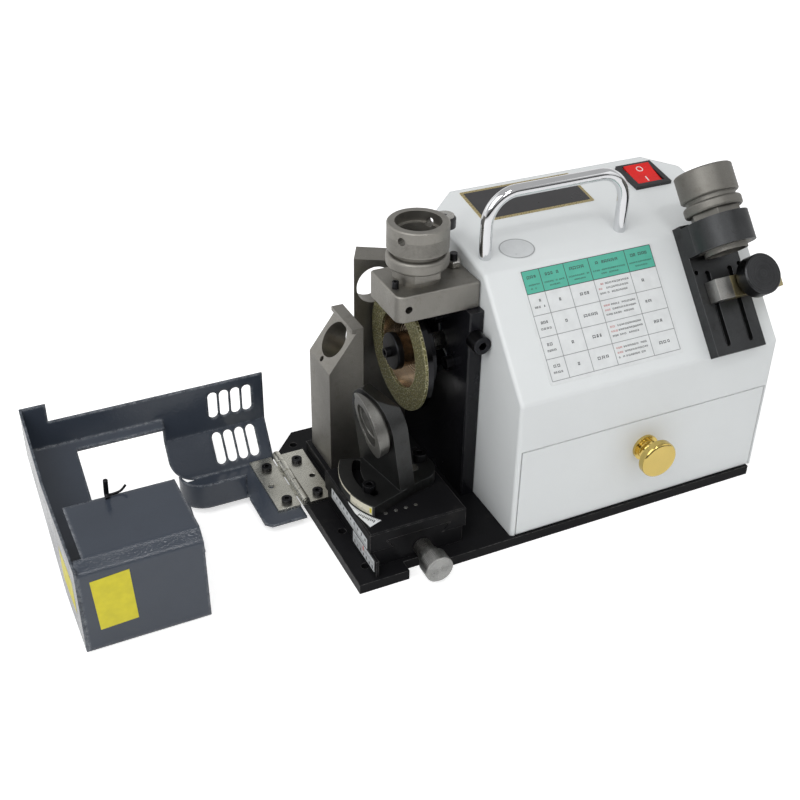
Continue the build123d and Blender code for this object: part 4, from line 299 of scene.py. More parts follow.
def gritty(name, base, dark, painted_highlight):
    """Bonded grit: packed grains of several tones, painted glints on some grains, and a bright rim painted
    on the edges, partly wear and partly painted highlight.
    """
    s = Shader(name)
    s.set(Metallic=0.55)
    grains = s.add("ShaderNodeTexVoronoi", Scale=1100.0)
    s.join(s.place, grains.inputs["Vector"])
    tone = s.spread(s.noise(scale=700, detail=3), (0.36, 0.62), (0, 1))
    # Painted glints: scattered grains coloured bright
    glint = s.spread(s.noise(scale=950, detail=1), (0.57, 0.67), (0, 1))
    body = s.blend(glint, s.blend(tone, dark, base), painted_highlight)
    # Bright rim on the edges: partly wear, partly painted highlight
    worn = s.rubbed(radius=0.0007, amount=s.spread(tone, (0, 1), (0.4, 1)))
    s.colour(s.blend(worn, body, painted_highlight))
    s.roughness(s.spread(tone, (0, 1), (0.3, 0.55)))
    s.bumps(grains.outputs["Distance"], strength=0.9, depth=0.0004, radius=0.0003)
    return s.material


def turned(name, base, worn, centre, axis, rough, rings, rim=None, rim_from=1.0, behind_from=1.0):
    """Metal turned about an axis, with fine rings; another metal from a radius outwards or behind a face."""
    blur = 0.0002
    edge = 0.0004
    s = Shader(name)
    s.set(Metallic=1.0)
    away = s.vector("SUBTRACT", s.place, centre)["Vector"]
    radius = s.vector("LENGTH", s.vector("CROSS_PRODUCT", away, axis)["Vector"])["Value"]
    broad = s.mottle(scale=60, detail=5)
    body = s.tones(broad, base, 0.75, 1.15)
    body = s.blend(s.stains(150, (0.55, 0.78), most=0.6), body, shade(base, 0.5))
    grooves = s.add("ShaderNodeTexNoise", Scale=rings, Detail=2.0, noise_dimensions="1D")
    s.join(radius, grooves.inputs["W"])
    groove = grooves.outputs["Fac"]
    body = s.blend(s.spread(groove, (0.4, 0.7), (0, 0.6)), body, shade(base, 1.5))
    if rim:
        along = s.vector("DOT_PRODUCT", away, axis)["Value"]
        outside = s.spread(radius, (rim_from - blur, rim_from + blur), (0, 1))
        behind = s.spread(along, (behind_from, behind_from + blur), (0, 1))
        body = s.blend(s.math("MAXIMUM", outside, behind), body, s.tones(broad, rim, 0.8, 1.2))
    # Edges take the worn colour: wear, and painted highlight where that colour is lighter than the metal, as
    # on the thumb screw
    s.colour(s.blend(s.rubbed(edge, broad), body, worn))
    s.roughness(s.spread(groove, NOISE_SPAN, around(rough, less=0.1, more=0.1)))
    s.bumps(groove, strength=0.4, depth=0.00004, radius=edge)
    return s.material


def knurled(name, base, rough, centre, count):
    """Turned metal with straight flutes round an axis along Y."""
    s = Shader(name)
    s.set(Metallic=1.0)
    wave = s.math("SINE", s.math("MULTIPLY", s.angle("X", "Z", centre), count))
    s.colour(s.tones(s.mottle(scale=70, detail=4), base, 0.88, 1.08))
    sheen = around(rough, less=0.08, more=0.12)
    s.roughness(s.mottle(scale=900, detail=2, target=sheen, stretch=(1, 30, 1)))
    s.bumps(wave, strength=0.35, depth=0.0003, radius=0.0005)
    return s.material


def cross_knurled(name, base, rough, centre, count, pitch, low, high):
    """Blasted metal with a band of crossed grooves round an upright axis, painted shade in the grooves' low
    parts and edges painted brighter.
    """
    blur = edge = 0.0004
    s = Shader(name)
    s.set(Metallic=1.0)
    turn = s.math("MULTIPLY", s.angle("X", "Y", centre), count)
    height = s.split()["Z"]
    lean = s.math("MULTIPLY", height, 2 * pi / pitch)
    one_way = s.math("SINE", s.math("ADD", turn, lean))
    other_way = s.math("SINE", s.math("ADD", turn, s.math("MULTIPLY", lean, -1)))
    above = s.spread(height, (low, low + blur), (0, 1))
    below = s.spread(height, (high - blur, high), (1, 0))
    within = s.math("MULTIPLY", above, below)
    pattern = s.math("MULTIPLY", s.math("MULTIPLY", one_way, other_way), within)
    broad = s.mottle(scale=55, detail=5)
    body = s.tones(broad, base, 0.9, 1.1)
    body = s.blend(s.stains(130, (0.55, 0.75), most=0.7), body, shade(base, 0.66))
    # Painted shade: the low parts of the crossed grooves darkened
    body = s.blend(s.spread(pattern, (-0.6, -0.1), (0.5, 0)), body, shade(base, 0.45))
    # Edges painted brighter: partly wear, partly painted highlight
    worn = s.rubbed(edge, s.spread(broad, (0, 1), (0.3, 0.8)))
    s.colour(s.blend(worn, body, shade(base, 1.35)))
    s.roughness(s.mottle(scale=2600, detail=3, target=around(rough, less=0.1, more=0.1)))
    s.bumps(pattern, strength=0.6, depth=0.00022, radius=edge)
    return s.material


BLASTED = (0.29, 0.279, 0.255)
BRUSHED = (1, 25, 1)
ring_low, ring_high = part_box("seat_ring")
ring_mid = mid_of((ring_low, ring_high))
ring_tall = ring_high.z - ring_low.z
wheel_mid = mid_of(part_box("wheel_core"))
thumb_mid = mid_of(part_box("thumb_screw"))
slope_out = tuple(SLOPE.to_3x3().col[2])
feed_mid = mid_of(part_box("feed_knob"))

white_coat = painted("white powder coat", (0.74, 0.765, 0.77), rough=0.36, grain=850, depth=0.00016,
                     worn=(0.45, 0.46, 0.46), wear=0.25, radius=0.0012, vary=0.02)
black_paint = painted("worn black paint", (0.009, 0.009, 0.01), rough=0.36, grain=1500, depth=0.0001,
                      worn=(0.2, 0.195, 0.19), wear=0.7, vary=0.3, gloss=0.06,
                      stain=(0.024, 0.023, 0.021))
gloss_black = painted("gloss black paint", (0.0085, 0.0085, 0.0105), rough=0.22, grain=700, depth=0.00008,
                      worn=(0.12, 0.12, 0.12), wear=0.55, vary=0.3, gloss=0.25)
guard_paint = painted("blue grey paint", (0.045, 0.055, 0.074), rough=0.12, grain=560, depth=0.00022,
                      worn=(0.4, 0.43, 0.47), wear=0.5, radius=0.0032, vary=0.1)
motor_paint = painted("motor paint", (0.06, 0.07, 0.08), rough=0.5, grain=900, depth=0.0001,
                      worn=(0.3, 0.3, 0.3), wear=0.5, vary=0.1)
blasted = metal("bead blasted steel", BLASTED, rough=0.5, grain=2600, depth=0.00006, vary=0.1,
                stain=(0.19, 0.172, 0.145))
ring_steel = cross_knurled("knurled blasted steel", BLASTED, rough=0.48, centre=(ring_mid.x, ring_mid.y),
                           count=80, pitch=0.0018, low=ring_low.z + 0.08 * ring_tall,
                           high=ring_low.z + 0.62 * ring_tall)
seat_steel = metal("gauge seat steel", (0.215, 0.208, 0.19), rough=0.5, grain=2600, depth=0.00006,
                   vary=0.1, stain=(0.14, 0.128, 0.108))
stop_steel = metal("sawn steel", (0.36, 0.355, 0.34), rough=0.34, grain=900, depth=0.00003,
                   stretch=BRUSHED, vary=0.2, stain=(0.22, 0.19, 0.15))
gauge_steel = metal("dark blasted steel", (0.064, 0.066, 0.068), rough=0.44, grain=2400, depth=0.00006,
                    vary=0.16, stain=(0.036, 0.035, 0.033), painted_highlight=3.0)
cast = metal("dark phosphate", (0.062, 0.063, 0.063), rough=0.44, grain=1900, depth=0.0001, vary=0.2,
             stain=(0.04, 0.04, 0.034), painted_highlight=2.6)
rubbed_cast = metal("rubbed phosphate", (0.21, 0.207, 0.195), rough=0.42, grain=1400, depth=0.0001,
                    vary=0.22, stain=(0.07, 0.068, 0.06), painted_highlight=2.4)
ground = metal("ground steel", (0.5, 0.49, 0.465), rough=0.3, grain=900, depth=0.00003, stretch=BRUSHED,
               stain=(0.33, 0.28, 0.21))
hinge_steel = metal("plated hinge steel", (0.68, 0.67, 0.6), rough=0.28, grain=700, depth=0.00004,
                    stretch=(1, 12, 1), vary=0.14, stain=(0.34, 0.315, 0.23))
oxide = metal("black oxide", (0.03, 0.03, 0.033), rough=0.36, grain=1700, depth=0.00004, vary=0.2,
              painted_highlight=4.0)
chrome = polished("chrome", (0.72, 0.725, 0.74), rough=0.045)
gold = polished("polished brass", (0.66, 0.5, 0.16), rough=0.11, vary=0.1)
brass = metal("machined brass", (0.42, 0.36, 0.2), rough=0.34, grain=800, depth=0.00003,
              stretch=(20, 1, 1), stain=(0.28, 0.23, 0.13))
wheel_metal = turned("bronze and steel", (0.47, 0.395, 0.315), worn=(0.2, 0.19, 0.18),
                     centre=tuple(wheel_mid), axis=ACROSS, rough=0.18, rings=900.0,
                     rim=(0.028, 0.028, 0.03), rim_from=0.0266, behind_from=0.0055)
# The lighter worn colour paints a highlight on the screw's edges, along with wear
thumb_metal = turned("turned black oxide", (0.045, 0.046, 0.048), worn=(0.16, 0.16, 0.165),
                     centre=tuple(thumb_mid), axis=slope_out, rough=0.34, rings=700.0)
red_gloss = plastic("red gloss plastic", (0.72, 0.01, 0.008), rough=0.2, gloss=0.4)
black_plastic = plastic("black plastic", (0.012, 0.012, 0.014), rough=0.36)
grit = gritty("bonded grit", (0.22, 0.205, 0.085), dark=(0.07, 0.066, 0.026), painted_highlight=(0.66, 0.63, 0.42))
feed_metal = knurled("knurled aluminium", (0.36, 0.36, 0.35), rough=0.3, centre=(feed_mid.x, feed_mid.z),
                     count=56)
paper = printed("label film", (0.72, 0.74, 0.745))
green = printed("green ink", (0.09, 0.44, 0.33))
dark_ink = printed("dark ink", (0.06, 0.065, 0.07))
grey_ink = printed("grey ink", (0.3, 0.31, 0.32))
red_ink = printed("red ink", (0.6, 0.16, 0.15))
yellow = printed("yellow film", (0.68, 0.6, 0.03), vary=0.07)
plate_black = printed("black plate ink", (0.035, 0.034, 0.036), rough=0.35)
plate_gold = metal("plate gold", (0.6, 0.5, 0.27), rough=0.3, grain=900, depth=0.00001, vary=0.08)
scale_silver = printed("scale film", (0.6, 0.62, 0.63), rough=0.35)
cream = printed("cream film", (0.66, 0.63, 0.5), rough=0.4)
mark_white = printed("mark paint", (0.86, 0.74, 0.72), rough=0.3)

# The nodes of the CAD model that each material covers
finishes = {
    white_coat: "housing_shell drawer_front",
    black_paint: "base_plate slide_base slide_table post_riser",
    gloss_black: "side_plate",
    guard_paint: "guard_shell guard_end_plate",
    motor_paint: "motor_can motor_bells",
    blasted: "seat_plate seat_collar rear_plate post",
    ring_steel: "seat_ring",
    seat_steel: "gauge_seat",
    stop_steel: "stop_block",
    rubbed_cast: "jig_ring",
    gauge_steel: "gauge_bracket",
    cast: "jig_body",
    ground: "motor_shaft stop_pins pivot_pin seat_nut drawer_tray drawer_runners motor_bearings"
            " motor_stator motor_rotor feed_screw",
    hinge_steel: "hinge_base_leaf hinge_guard_leaf hinge_pin",
    oxide: "seat_stud base_screws edge_screw motor_screws jig_clamp_screw jig_lock_screw hinge_base_screws"
           " hinge_guard_screws wheel_flange wheel_screw gauge_screws knob_screw handle_screws",
    chrome: "carry_handle",
    gold: "drawer_knob",
    brass: "stop_brass feed_nut",
    wheel_metal: "wheel_core",
    feed_metal: "feed_knob",
    red_gloss: "rocker_button",
    black_plastic: "switch_frame lock_knob cable_gland run_capacitor",
    thumb_metal: "thumb_screw",
    grit: "grit_ring",
}
for material, names in finishes.items():
    for name in names.split():
        slots = nodes[name].data.materials
        slots.clear()
        slots.append(material)


# Pieces laid on the machine, in millimetres on the frame of a surface

CORNER_STEPS = 5
OVAL_POINTS = 48
RIM_STEPS = 2


def piece(name, build, material, body, bevel=0.0):
    """Mesh piece from a building function, riding on a body."""
    shape = bmesh.new()
    build(shape)
    bmesh.ops.recalc_face_normals(shape, faces=shape.faces)
    mesh = bpy.data.meshes.new(name)
    shape.to_mesh(mesh)
    shape.free()
    mesh.materials.append(material)
    made = bpy.data.objects.new(name, mesh)
    link(made)
    if bevel:
        rim = made.modifiers.new("rim", "BEVEL")
        rim.width = bevel
        rim.segments = RIM_STEPS
        rim.limit_method = "ANGLE"
    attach(made, body)


def ring(shape, place, outline, level):
    """New points along an outline at a level over the surface."""
    return [shape.verts.new(place @ Vector((x * MM, y * MM, level * MM))) for x, y in outline]


def prism(shape, place, outline, levels):
    """Solid with an outline between two levels."""
    low, high = [ring(shape, place, outline, level) for level in levels]
    shape.faces.new(low[::-1])
    shape.faces.new(high)
    for i in range(len(outline)):
        j = (i + 1) % len(outline)
        shape.faces.new((low[i], low[j], high[j], high[i]))


def sheet(place, outline, levels):
    """Building function of a single prism."""
    def build(shape):
        prism(shape, place, outline, levels)
    return build


def hoop(place, outer, inner, levels):
    """Building function of a flat ring between two outlines with the same number of points."""
    def build(shape):
        out_low, out_high, in_low, in_high = [
            ring(shape, place, outline, level) for outline in (outer, inner) for level in levels
        ]
        for i in range(len(outer)):
            j = (i + 1) % len(outer)
            shape.faces.new((out_high[i], out_high[j], in_high[j], in_high[i]))
            shape.faces.new((out_low[j], out_low[i], in_low[i], in_low[j]))
            shape.faces.new((out_low[i], out_low[j], out_high[j], out_high[i]))
            shape.faces.new((in_low[j], in_low[i], in_high[i], in_high[j]))
    return build


def rectangle(x, y, round_by=0.0):
    """Outline of a rectangle between pairs of x and y, with rounded corners on request."""
    if not round_by:
        return [(x[0], y[0]), (x[1], y[0]), (x[1], y[1]), (x[0], y[1])]
    outline = []
    corners = ((x[1], y[1], 0), (x[0], y[1], 90), (x[0], y[0], 180), (x[1], y[0], 270))
    for cx, cy, turn in corners:
        mx = cx + (round_by if cx == x[0] else -round_by)
        my = cy + (round_by if cy == y[0] else -round_by)
        for i in range(CORNER_STEPS + 1):
            a = radians(turn + 90 * i / CORNER_STEPS)
            outline.append((mx + round_by * cos(a), my + round_by * sin(a)))
    return outline


def oval(centre, half_x, half_y):
    turns = [2 * pi * i / OVAL_POINTS for i in range(OVAL_POINTS)]
    return [(centre[0] + half_x * cos(a), centre[1] + half_y * sin(a)) for a in turns]


def part_way(span, i, count):
    """Place after so many of a span's equal steps."""
    return span[0] + (span[1] - span[0]) * i / count


# Levels at which films and the print on them begin and end over the surface
FILM = (0.02, 0.16)
SCALE_FILM = (0.02, 0.14)
END_FILM = (0.01, 0.05)
SCALE_INK = (0.1, 0.17)
POINTER_INK = (0.1, 0.19)
FILM_INK = (0.1, 0.2)
RULE_INK = (0.1, 0.21)
HEAD_RULE_INK = (0.1, 0.225)
MARK_INK = (0.15, 0.23)

# Chart on the slope: a film with a green heading, ruled cells and rows of illegible marks
CHART_X = (-17.0, 78.7)
CHART_T = (10.5, 81.0)
CHART_HEAD = 66.3
CHART_COLUMNS = (0.0, 0.13, 0.315, 0.504, 0.791, 1.0)
CHART_ROWS = 4
CHART_FILM = rectangle((CHART_X[0] - 2, CHART_X[1] + 2), (CHART_T[0] - 2.5, CHART_T[1] + 1), 1.5)
RULE_HALF = 0.22
column_x = [CHART_X[0] + (CHART_X[1] - CHART_X[0]) * part for part in CHART_COLUMNS]
row_t = [CHART_HEAD - (CHART_HEAD - CHART_T[0]) * i / CHART_ROWS for i in range(CHART_ROWS + 1)]

# Marks of the chart, as shares of their height; heading lines give level, height, width and gap
MARK_CHANCE = 0.92
MARK_LONG = (0.5, 1.15)
MARK_DOWN = (0.35, 0.5)
MARK_UP = 0.45
MARK_BAR = (0, 0.3)
MARK_GAP = (0.5, 1.1)
MARK_LAST = 0.4
PEN_SHARE = 0.17
PEN_LEAST = 0.17
HEADING_LINES = ((76.6, 2.2, 0.75, 0.35), (71.6, 1.1, 1.0, 0.5), (69.2, 1.1, 0.55, 0.5))
HEADING_INSET = 1.6
HEADING_SEED = 11
CELL_SEED = 23

# Print in the cells: ends from the cell's middle, lift and height in the first column; the ends of the
# second column's figure; half the width of each row's code; lift, redness and shortening of notes
NAME_LINES = ((-2.6, 2.2, 2, 2.0), (-3.6, 3.6, -2, 1.5))
FIGURE_ENDS = (-0.6, 0.9)
FIGURE = 2.2
CODE_HALVES = (3.2, 5.0, 3.2, 4.0)
NOTE_LINES = ((3.4, True, 0), (0.4, True, 0), (-2.6, False, 3))
NOTE_INSET = 2
NOTE_WORD = 6.5
NOTE_REST = 7.5
SMALL_PRINT = 1.3


def rule_across(shape, t, levels):
    prism(shape, SLOPE, rectangle(CHART_X, (t - RULE_HALF, t + RULE_HALF)), levels)


def rule_up(shape, x, span, levels):
    prism(shape, SLOPE, rectangle((x - RULE_HALF, x + RULE_HALF), span), levels)


def chart_rules(shape):
    for t in row_t:
        rule_across(shape, t, RULE_INK)
    for x in column_x:
        rule_up(shape, x, (CHART_T[0], CHART_HEAD), RULE_INK)


def chart_head_rules(shape):
    for x in column_x:
        rule_up(shape, x, (CHART_HEAD, CHART_T[1]), HEAD_RULE_INK)
    for t in (CHART_HEAD, CHART_T[1]):
        rule_across(shape, t, HEAD_RULE_INK)


def dashes(shape, rng, x, t, tall, gap=0.5):
    """A row of short marks between two places, as small print looks from far off."""
    pen = max(PEN_LEAST, tall * PEN_SHARE)
    high = t + tall * MARK_UP
    at = x[0]
    while at < x[1] - tall * MARK_LAST:
        end = min(at + tall * rng.uniform(*MARK_LONG), x[1])
        if rng.random() < MARK_CHANCE:
            low = t - tall * rng.uniform(*MARK_DOWN)
            for left in (at, max(at, end - pen)):
                prism(shape, SLOPE, rectangle((left, left + pen), (low, high)), MARK_INK)
            for level in (low + rng.uniform(*MARK_BAR) * tall, high - pen):
                prism(shape, SLOPE, rectangle((at, end), (level, level + pen)), MARK_INK)
        at = end + gap * tall * rng.uniform(*MARK_GAP)


def chart_heading_marks(shape):
    rng = random.Random(HEADING_SEED)
    for left, right in zip(column_x, column_x[1:]):
        left, right = left + HEADING_INSET, right - HEADING_INSET
        middle = (left + right) / 2
        half = (right - left) / 2
        for t, tall, share, gap in HEADING_LINES:
            dashes(shape, rng, (middle - half * share, middle + half * share), t, tall, gap)


def cell_lines(row, column):
    """Lines of print in a cell of the chart: start, end, level, height, and whether it is red."""
    left, right = column_x[column], column_x[column + 1]
    middle = (left + right) / 2
    t = (row_t[row] + row_t[row + 1]) / 2
    if column == 0:
        return [
            (middle + start, middle + end, t + lift, tall, False)
            for start, end, lift, tall in NAME_LINES
        ]
    if column == 1:
        return [(middle + FIGURE_ENDS[0], middle + FIGURE_ENDS[1], t, FIGURE, False)]
    if column == 3:
        lines = []
        for lift, red, short in NOTE_LINES:
            end = right - NOTE_INSET - short
            lines.append((left + NOTE_INSET, left + NOTE_WORD, t + lift, SMALL_PRINT, red))
            lines.append((left + NOTE_REST, end, t + lift, SMALL_PRINT, False))
        return lines
    half = CODE_HALVES[row]
    return [(middle - half, middle + half, t, FIGURE, False)]


def chart_cell_marks(red):
    """Building function of the cells' red or dark marks."""
    def build(shape):
        rng = random.Random(CELL_SEED)
        for row in range(CHART_ROWS):
            for column in range(len(CHART_COLUMNS) - 1):
                for start, end, t, tall, in_red in cell_lines(row, column):
                    if in_red == red:
                        dashes(shape, rng, (start, end), t, tall)
    return build


piece("chart_film", sheet(SLOPE, CHART_FILM, FILM), paper, "base")
piece("chart_heading", sheet(SLOPE, rectangle(CHART_X, (CHART_HEAD, CHART_T[1])), FILM_INK), green, "base")
piece("chart_rules", chart_rules, grey_ink, "base")
piece("chart_head_rules", chart_head_rules, dark_ink, "base")
piece("chart_heading_marks", chart_heading_marks, dark_ink, "base")
piece("chart_marks", chart_cell_marks(False), dark_ink, "base")
piece("chart_red_marks", chart_cell_marks(True), red_ink, "base")

# Bare name plate and bare oval on the inclined top
PLATE_X = (-15.0, 70.0)
PLATE_V = (51.0, 86.5)
PLATE_RIM = 2.2
PLATE_LEVELS = (0.02, 0.35)
FIELD_LEVELS = (0.2, 0.42)
OVAL_AT = (-8.5, 18.5)
plate_edge = rectangle(PLATE_X, PLATE_V, 1.2)
plate_field = rectangle((PLATE_X[0] + PLATE_RIM, PLATE_X[1] - PLATE_RIM),
                        (PLATE_V[0] + PLATE_RIM, PLATE_V[1] - PLATE_RIM), 0.8)
piece("name_plate", sheet(TOP, plate_edge, PLATE_LEVELS), plate_gold, "base", bevel=0.0001)
piece("name_plate_field", sheet(TOP, plate_field, FIELD_LEVELS), plate_black, "base")
oval_edge = oval(OVAL_AT, 12.2, 10.5)
oval_lines = oval(OVAL_AT, 11.8, 10.1), oval(OVAL_AT, 11.2, 9.5)
piece("oval_film", sheet(TOP, oval_edge, FILM), scale_silver, "base")
piece("oval_rim", hoop(TOP, *oval_lines, FILM_INK), grey_ink, "base")

# Signs on the rocker: a circle at the back and a bar in front
ROCKER_TILT = radians(8)
CIRCLE_LEVELS = (1.5, 2.02)
BAR_LEVELS = (1.4, 2.02)
CIRCLE_AT = (0, 5.2)
CIRCLE_RADII = (2.6, 1.9)
BAR = rectangle((-0.45, 0.45), (-7.6, -2.8), 0.3)
rocker_joint = next(j for j in frame["joints"] if j["name"] == "switch_rock")
rocker_axis = Vector(rocker_joint["pos_m"])
rocker_turn = atan2(RIDGE.z - CREASE.z, RIDGE.y - CREASE.y) + ROCKER_TILT
ROCKER = axes(rocker_axis, ACROSS, (0, cos(rocker_turn), sin(rocker_turn)))
circle_lines = [oval(CIRCLE_AT, radius, radius) for radius in CIRCLE_RADII]
piece("rocker_circle", hoop(ROCKER, *circle_lines, CIRCLE_LEVELS), mark_white, "rocker")
piece("rocker_bar", sheet(ROCKER, BAR, BAR_LEVELS), mark_white, "rocker")

# Scales on the sides of the slide and its rail, with heights of long and short lines
slide_low, slide_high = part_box("slide_table")
rail_low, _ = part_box("slide_base")
TABLE_SIDE = axes((slide_low.x, 0, 0), FORWARD, UPRIGHT)
RAIL_SIDE = axes((rail_low.x, 0, 0), FORWARD, UPRIGHT)
TABLE_FILM = rectangle((12.0, 69.0), (19.5, 27.5), 0.6)
RAIL_FILM = rectangle((47.0, 80.0), (9.5, 18.5), 0.6)
POINTER = rectangle((62.5, 64.1), (14.6, 17.8))
LINE_EVERY, LINE_TALL, LINE_HALF = 5, (3.6, 2.2), 0.12
FIGURE_EVERY, FIGURE_TALL, FIGURE_HALF = 2, (2.6, 1.9), 0.75


def scale_ticks(place, along, level, count, every, tall, half):
    """Building function of a row of upright lines, with every few a long one."""
    def build(shape):
        for i in range(count + 1):
            at = part_way(along, i, count)
            high = level + tall[0 if i % every == 0 else 1]
            prism(shape, place, rectangle((at - half, at + half), (level, high)), SCALE_INK)
    return build


def ruler(place, along, level, count):
    """Building function of a ruler's lines."""
    return scale_ticks(place, along, level, count, LINE_EVERY, LINE_TALL, LINE_HALF)


def figures(place, along, level, count):
    """Building function of the blocks that stand for a ruler's figures."""
    return scale_ticks(place, along, level, count, FIGURE_EVERY, FIGURE_TALL, FIGURE_HALF)


piece("table_scale", sheet(TABLE_SIDE, TABLE_FILM, SCALE_FILM), scale_silver, "cross_slide")
piece("table_scale_lines", ruler(TABLE_SIDE, (14, 67), level=19.8, count=53), dark_ink, "cross_slide")
piece("table_scale_marks", figures(TABLE_SIDE, (15, 66), level=24.0, count=9), dark_ink, "cross_slide")
piece("rail_scale", sheet(RAIL_SIDE, RAIL_FILM, SCALE_FILM), scale_silver, "base")
piece("rail_scale_lines", ruler(RAIL_SIDE, (48.5, 78.5), level=14.4, count=30), dark_ink, "base")
piece("rail_scale_marks", figures(RAIL_SIDE, (50, 77), level=10.6, count=6), dark_ink, "base")
piece("rail_scale_pointer", sheet(RAIL_SIDE, POINTER, POINTER_INK), red_ink, "base")

# Films beside and round the jig's foot, on a frame at its pivot; turns are in degrees
PIVOT = (-89.0, -31.0)
ARC_R = 48.0
ARC_STEPS = 40
ARC_FILM_PROUD = 0.12
ARC_FILM_SUNK = 0.1
FLAT = axes((PIVOT[0] * MM, PIVOT[1] * MM, slide_high.z), ACROSS, DEEP)
JIG_LINES = 15
JIG_LINE_SPAN = (191.5, 209.5)
JIG_LINE_FOOT = 1.5
JIG_LINE_TALL = (2.4, 1.5)
JIG_LINE_WIDE = 0.2
JIG_LINE_PROUD = 0.2
JIG_LINE_EVERY = 5


def polar(radius, turn):
    return (radius * cos(radians(turn)), radius * sin(radians(turn)))


def arc(radius, span, count):
    return [polar(radius, part_way(span, i, count)) for i in range(count + 1)]


def spoke(turn, inner, outer, width):
    """Outline of a line that points at the pivot."""
    a = radians(turn)
    out = Vector((cos(a), sin(a)))
    side = Vector((-sin(a), cos(a))) * width / 2
    corners = (out * inner - side, out * outer - side, out * outer + side, out * inner + side)
    return [(c.x, c.y) for c in corners]


def polar_ticks(radius, span, count, every, tall, width):
    """Building function of lines on the slide that point at the pivot, with every few a long one."""
    def build(shape):
        for i in range(count + 1):
            outer = radius + tall[0 if i % every == 0 else 1]
            prism(shape, FLAT, spoke(part_way(span, i, count), radius, outer, width), SCALE_INK)
    return build


def arc_band(start, stop, low, high, proud=ARC_FILM_PROUD):
    """Building function of a thin film bent round the jig's foot."""
    front = arc(ARC_R + proud, (start, stop), ARC_STEPS)
    rear = arc(ARC_R - ARC_FILM_SUNK, (stop, start), ARC_STEPS)
    return sheet(FLAT, front + rear, (low, high))


def arc_lines(shape):
    """Upright lines on the film round the jig's foot, with every few a long one."""
    for i in range(JIG_LINES + 1):
        turn = part_way(JIG_LINE_SPAN, i, JIG_LINES)
        outline = spoke(turn, ARC_R, ARC_R + JIG_LINE_PROUD, JIG_LINE_WIDE)
        tall = JIG_LINE_TALL[0 if i % JIG_LINE_EVERY == 0 else 1]
        prism(shape, FLAT, outline, (JIG_LINE_FOOT, JIG_LINE_FOOT + tall))


VERNIER_EDGE = [polar(57.5, 217.5), polar(52.2, 201), polar(49.4, 190)]
VERNIER = arc(ARC_R + 0.5, (187, 221), count=20) + VERNIER_EDGE
vernier_lines = polar_ticks(ARC_R + 0.7, (196, 219), count=16, every=4, tall=(1.5, 1.0), width=0.22)
vernier_marks = polar_ticks(50.4, (204, 217), count=9, every=3, tall=(2.3, 1.7), width=0.8)
piece("jig_vernier", sheet(FLAT, VERNIER, SCALE_FILM), paper, "cross_slide")
piece("jig_vernier_lines", vernier_lines, dark_ink, "cross_slide")
piece("jig_vernier_marks", vernier_marks, dark_ink, "cross_slide")
piece("jig_scale", arc_band(190, 213, low=1.2, high=7.4), cream, "jig")
piece("jig_scale_edge", arc_band(147, 190, low=6.6, high=7.9), cream, "jig")
piece("jig_scale_lines", arc_lines, dark_ink, "jig")
piece("jig_scale_patch", arc_band(210.7, 212.5, low=2.6, high=6.2, proud=0.16), yellow, "jig")

# Bare films on the guard, and the wire catch on its top
guard_low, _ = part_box("guard_shell")
end_low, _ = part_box("guard_end_plate")
GUARD_FRONT = axes((0, guard_low.y, 0), ACROSS, UPRIGHT)
GUARD_END = axes((end_low.x, 0, 0), FORWARD, UPRIGHT)
FRONT_LABEL = [(-306.7, 52.2), (-304.5, 15.0), (-282.1, 16.2), (-283.8, 54.1)]
END_LABEL = rectangle((14, 50), (18, 42), 0.5)
CATCH_HOOK = [(-281.5, -12, 65.4), (-281.5, -9, 66), (-281.3, -8.8, 70), (-281, -9, 77)]
CATCH_LOOP = [(-281, -9.4, 66), (-276, -9.2, 65.8), (-272, -8.6, 66.4), (-269.6, -8.6, 69.6)]
WIRE_STEPS = 3
WIRE_ORDER = 3


def wire(name, points, radius, material, body):
    """Smooth wire along a line of points in millimetres, riding on a body."""
    line = bpy.data.curves.new(name, "CURVE")
    line.dimensions = "3D"
    line.bevel_depth = radius * MM
    line.bevel_resolution = WIRE_STEPS
    line.use_fill_caps = True
    spline = line.splines.new("NURBS")
    spline.points.add(len(points) - 1)
    for point, at in zip(spline.points, points):
        point.co = (*(c * MM for c in at), 1)
    spline.order_u = WIRE_ORDER
    spline.use_endpoint_u = True
    made = bpy.data.objects.new(name, line)
    made.data.materials.append(material)
    link(made)
    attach(made, body)


piece("guard_front_film", sheet(GUARD_FRONT, FRONT_LABEL, FILM), yellow, "guard")
piece("guard_end_film", sheet(GUARD_END, END_LABEL, END_FILM), yellow, "guard")
wire("guard_catch", CATCH_HOOK, radius=1.5, material=oxide, body="guard")
wire("guard_catch_loop", CATCH_LOOP, radius=0.8, material=oxide, body="guard")

# Metal cap on the lock knob
lock_low, lock_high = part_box("lock_knob")
lock_mid = mid_of((lock_low, lock_high))
LOCK = axes((lock_mid.x, lock_mid.y, lock_high.z), ACROSS, DEEP)
CAP_RADII = (6.0, 1.1)
CAP_LEVELS = (-1.15, 0.04)
cap_lines = [oval((0, 0), radius, radius) for radius in CAP_RADII]
piece("lock_cap", hoop(LOCK, *cap_lines, CAP_LEVELS), ground, "seat_lock", bevel=0.0003)


# Floor and surroundings

FLOOR_X = FLOOR_Y = (-6, 6)
FLOOR_LEVEL = -0.0002
FLOOR_TONES = (0.82, 0.82, 0.82), (0.84, 0.84, 0.84)
FLOOR_GLOW = 0.6
FLOOR_MIRRORED = 0.25
WORLD_LEVEL = 0.5
DOME_GREY = 0.51
FRONT_GREY = 0.03
FRONT_TO_BACK = (-0.5, 0.1)
LOW_TO_HIGH = (0.12, 0.45)


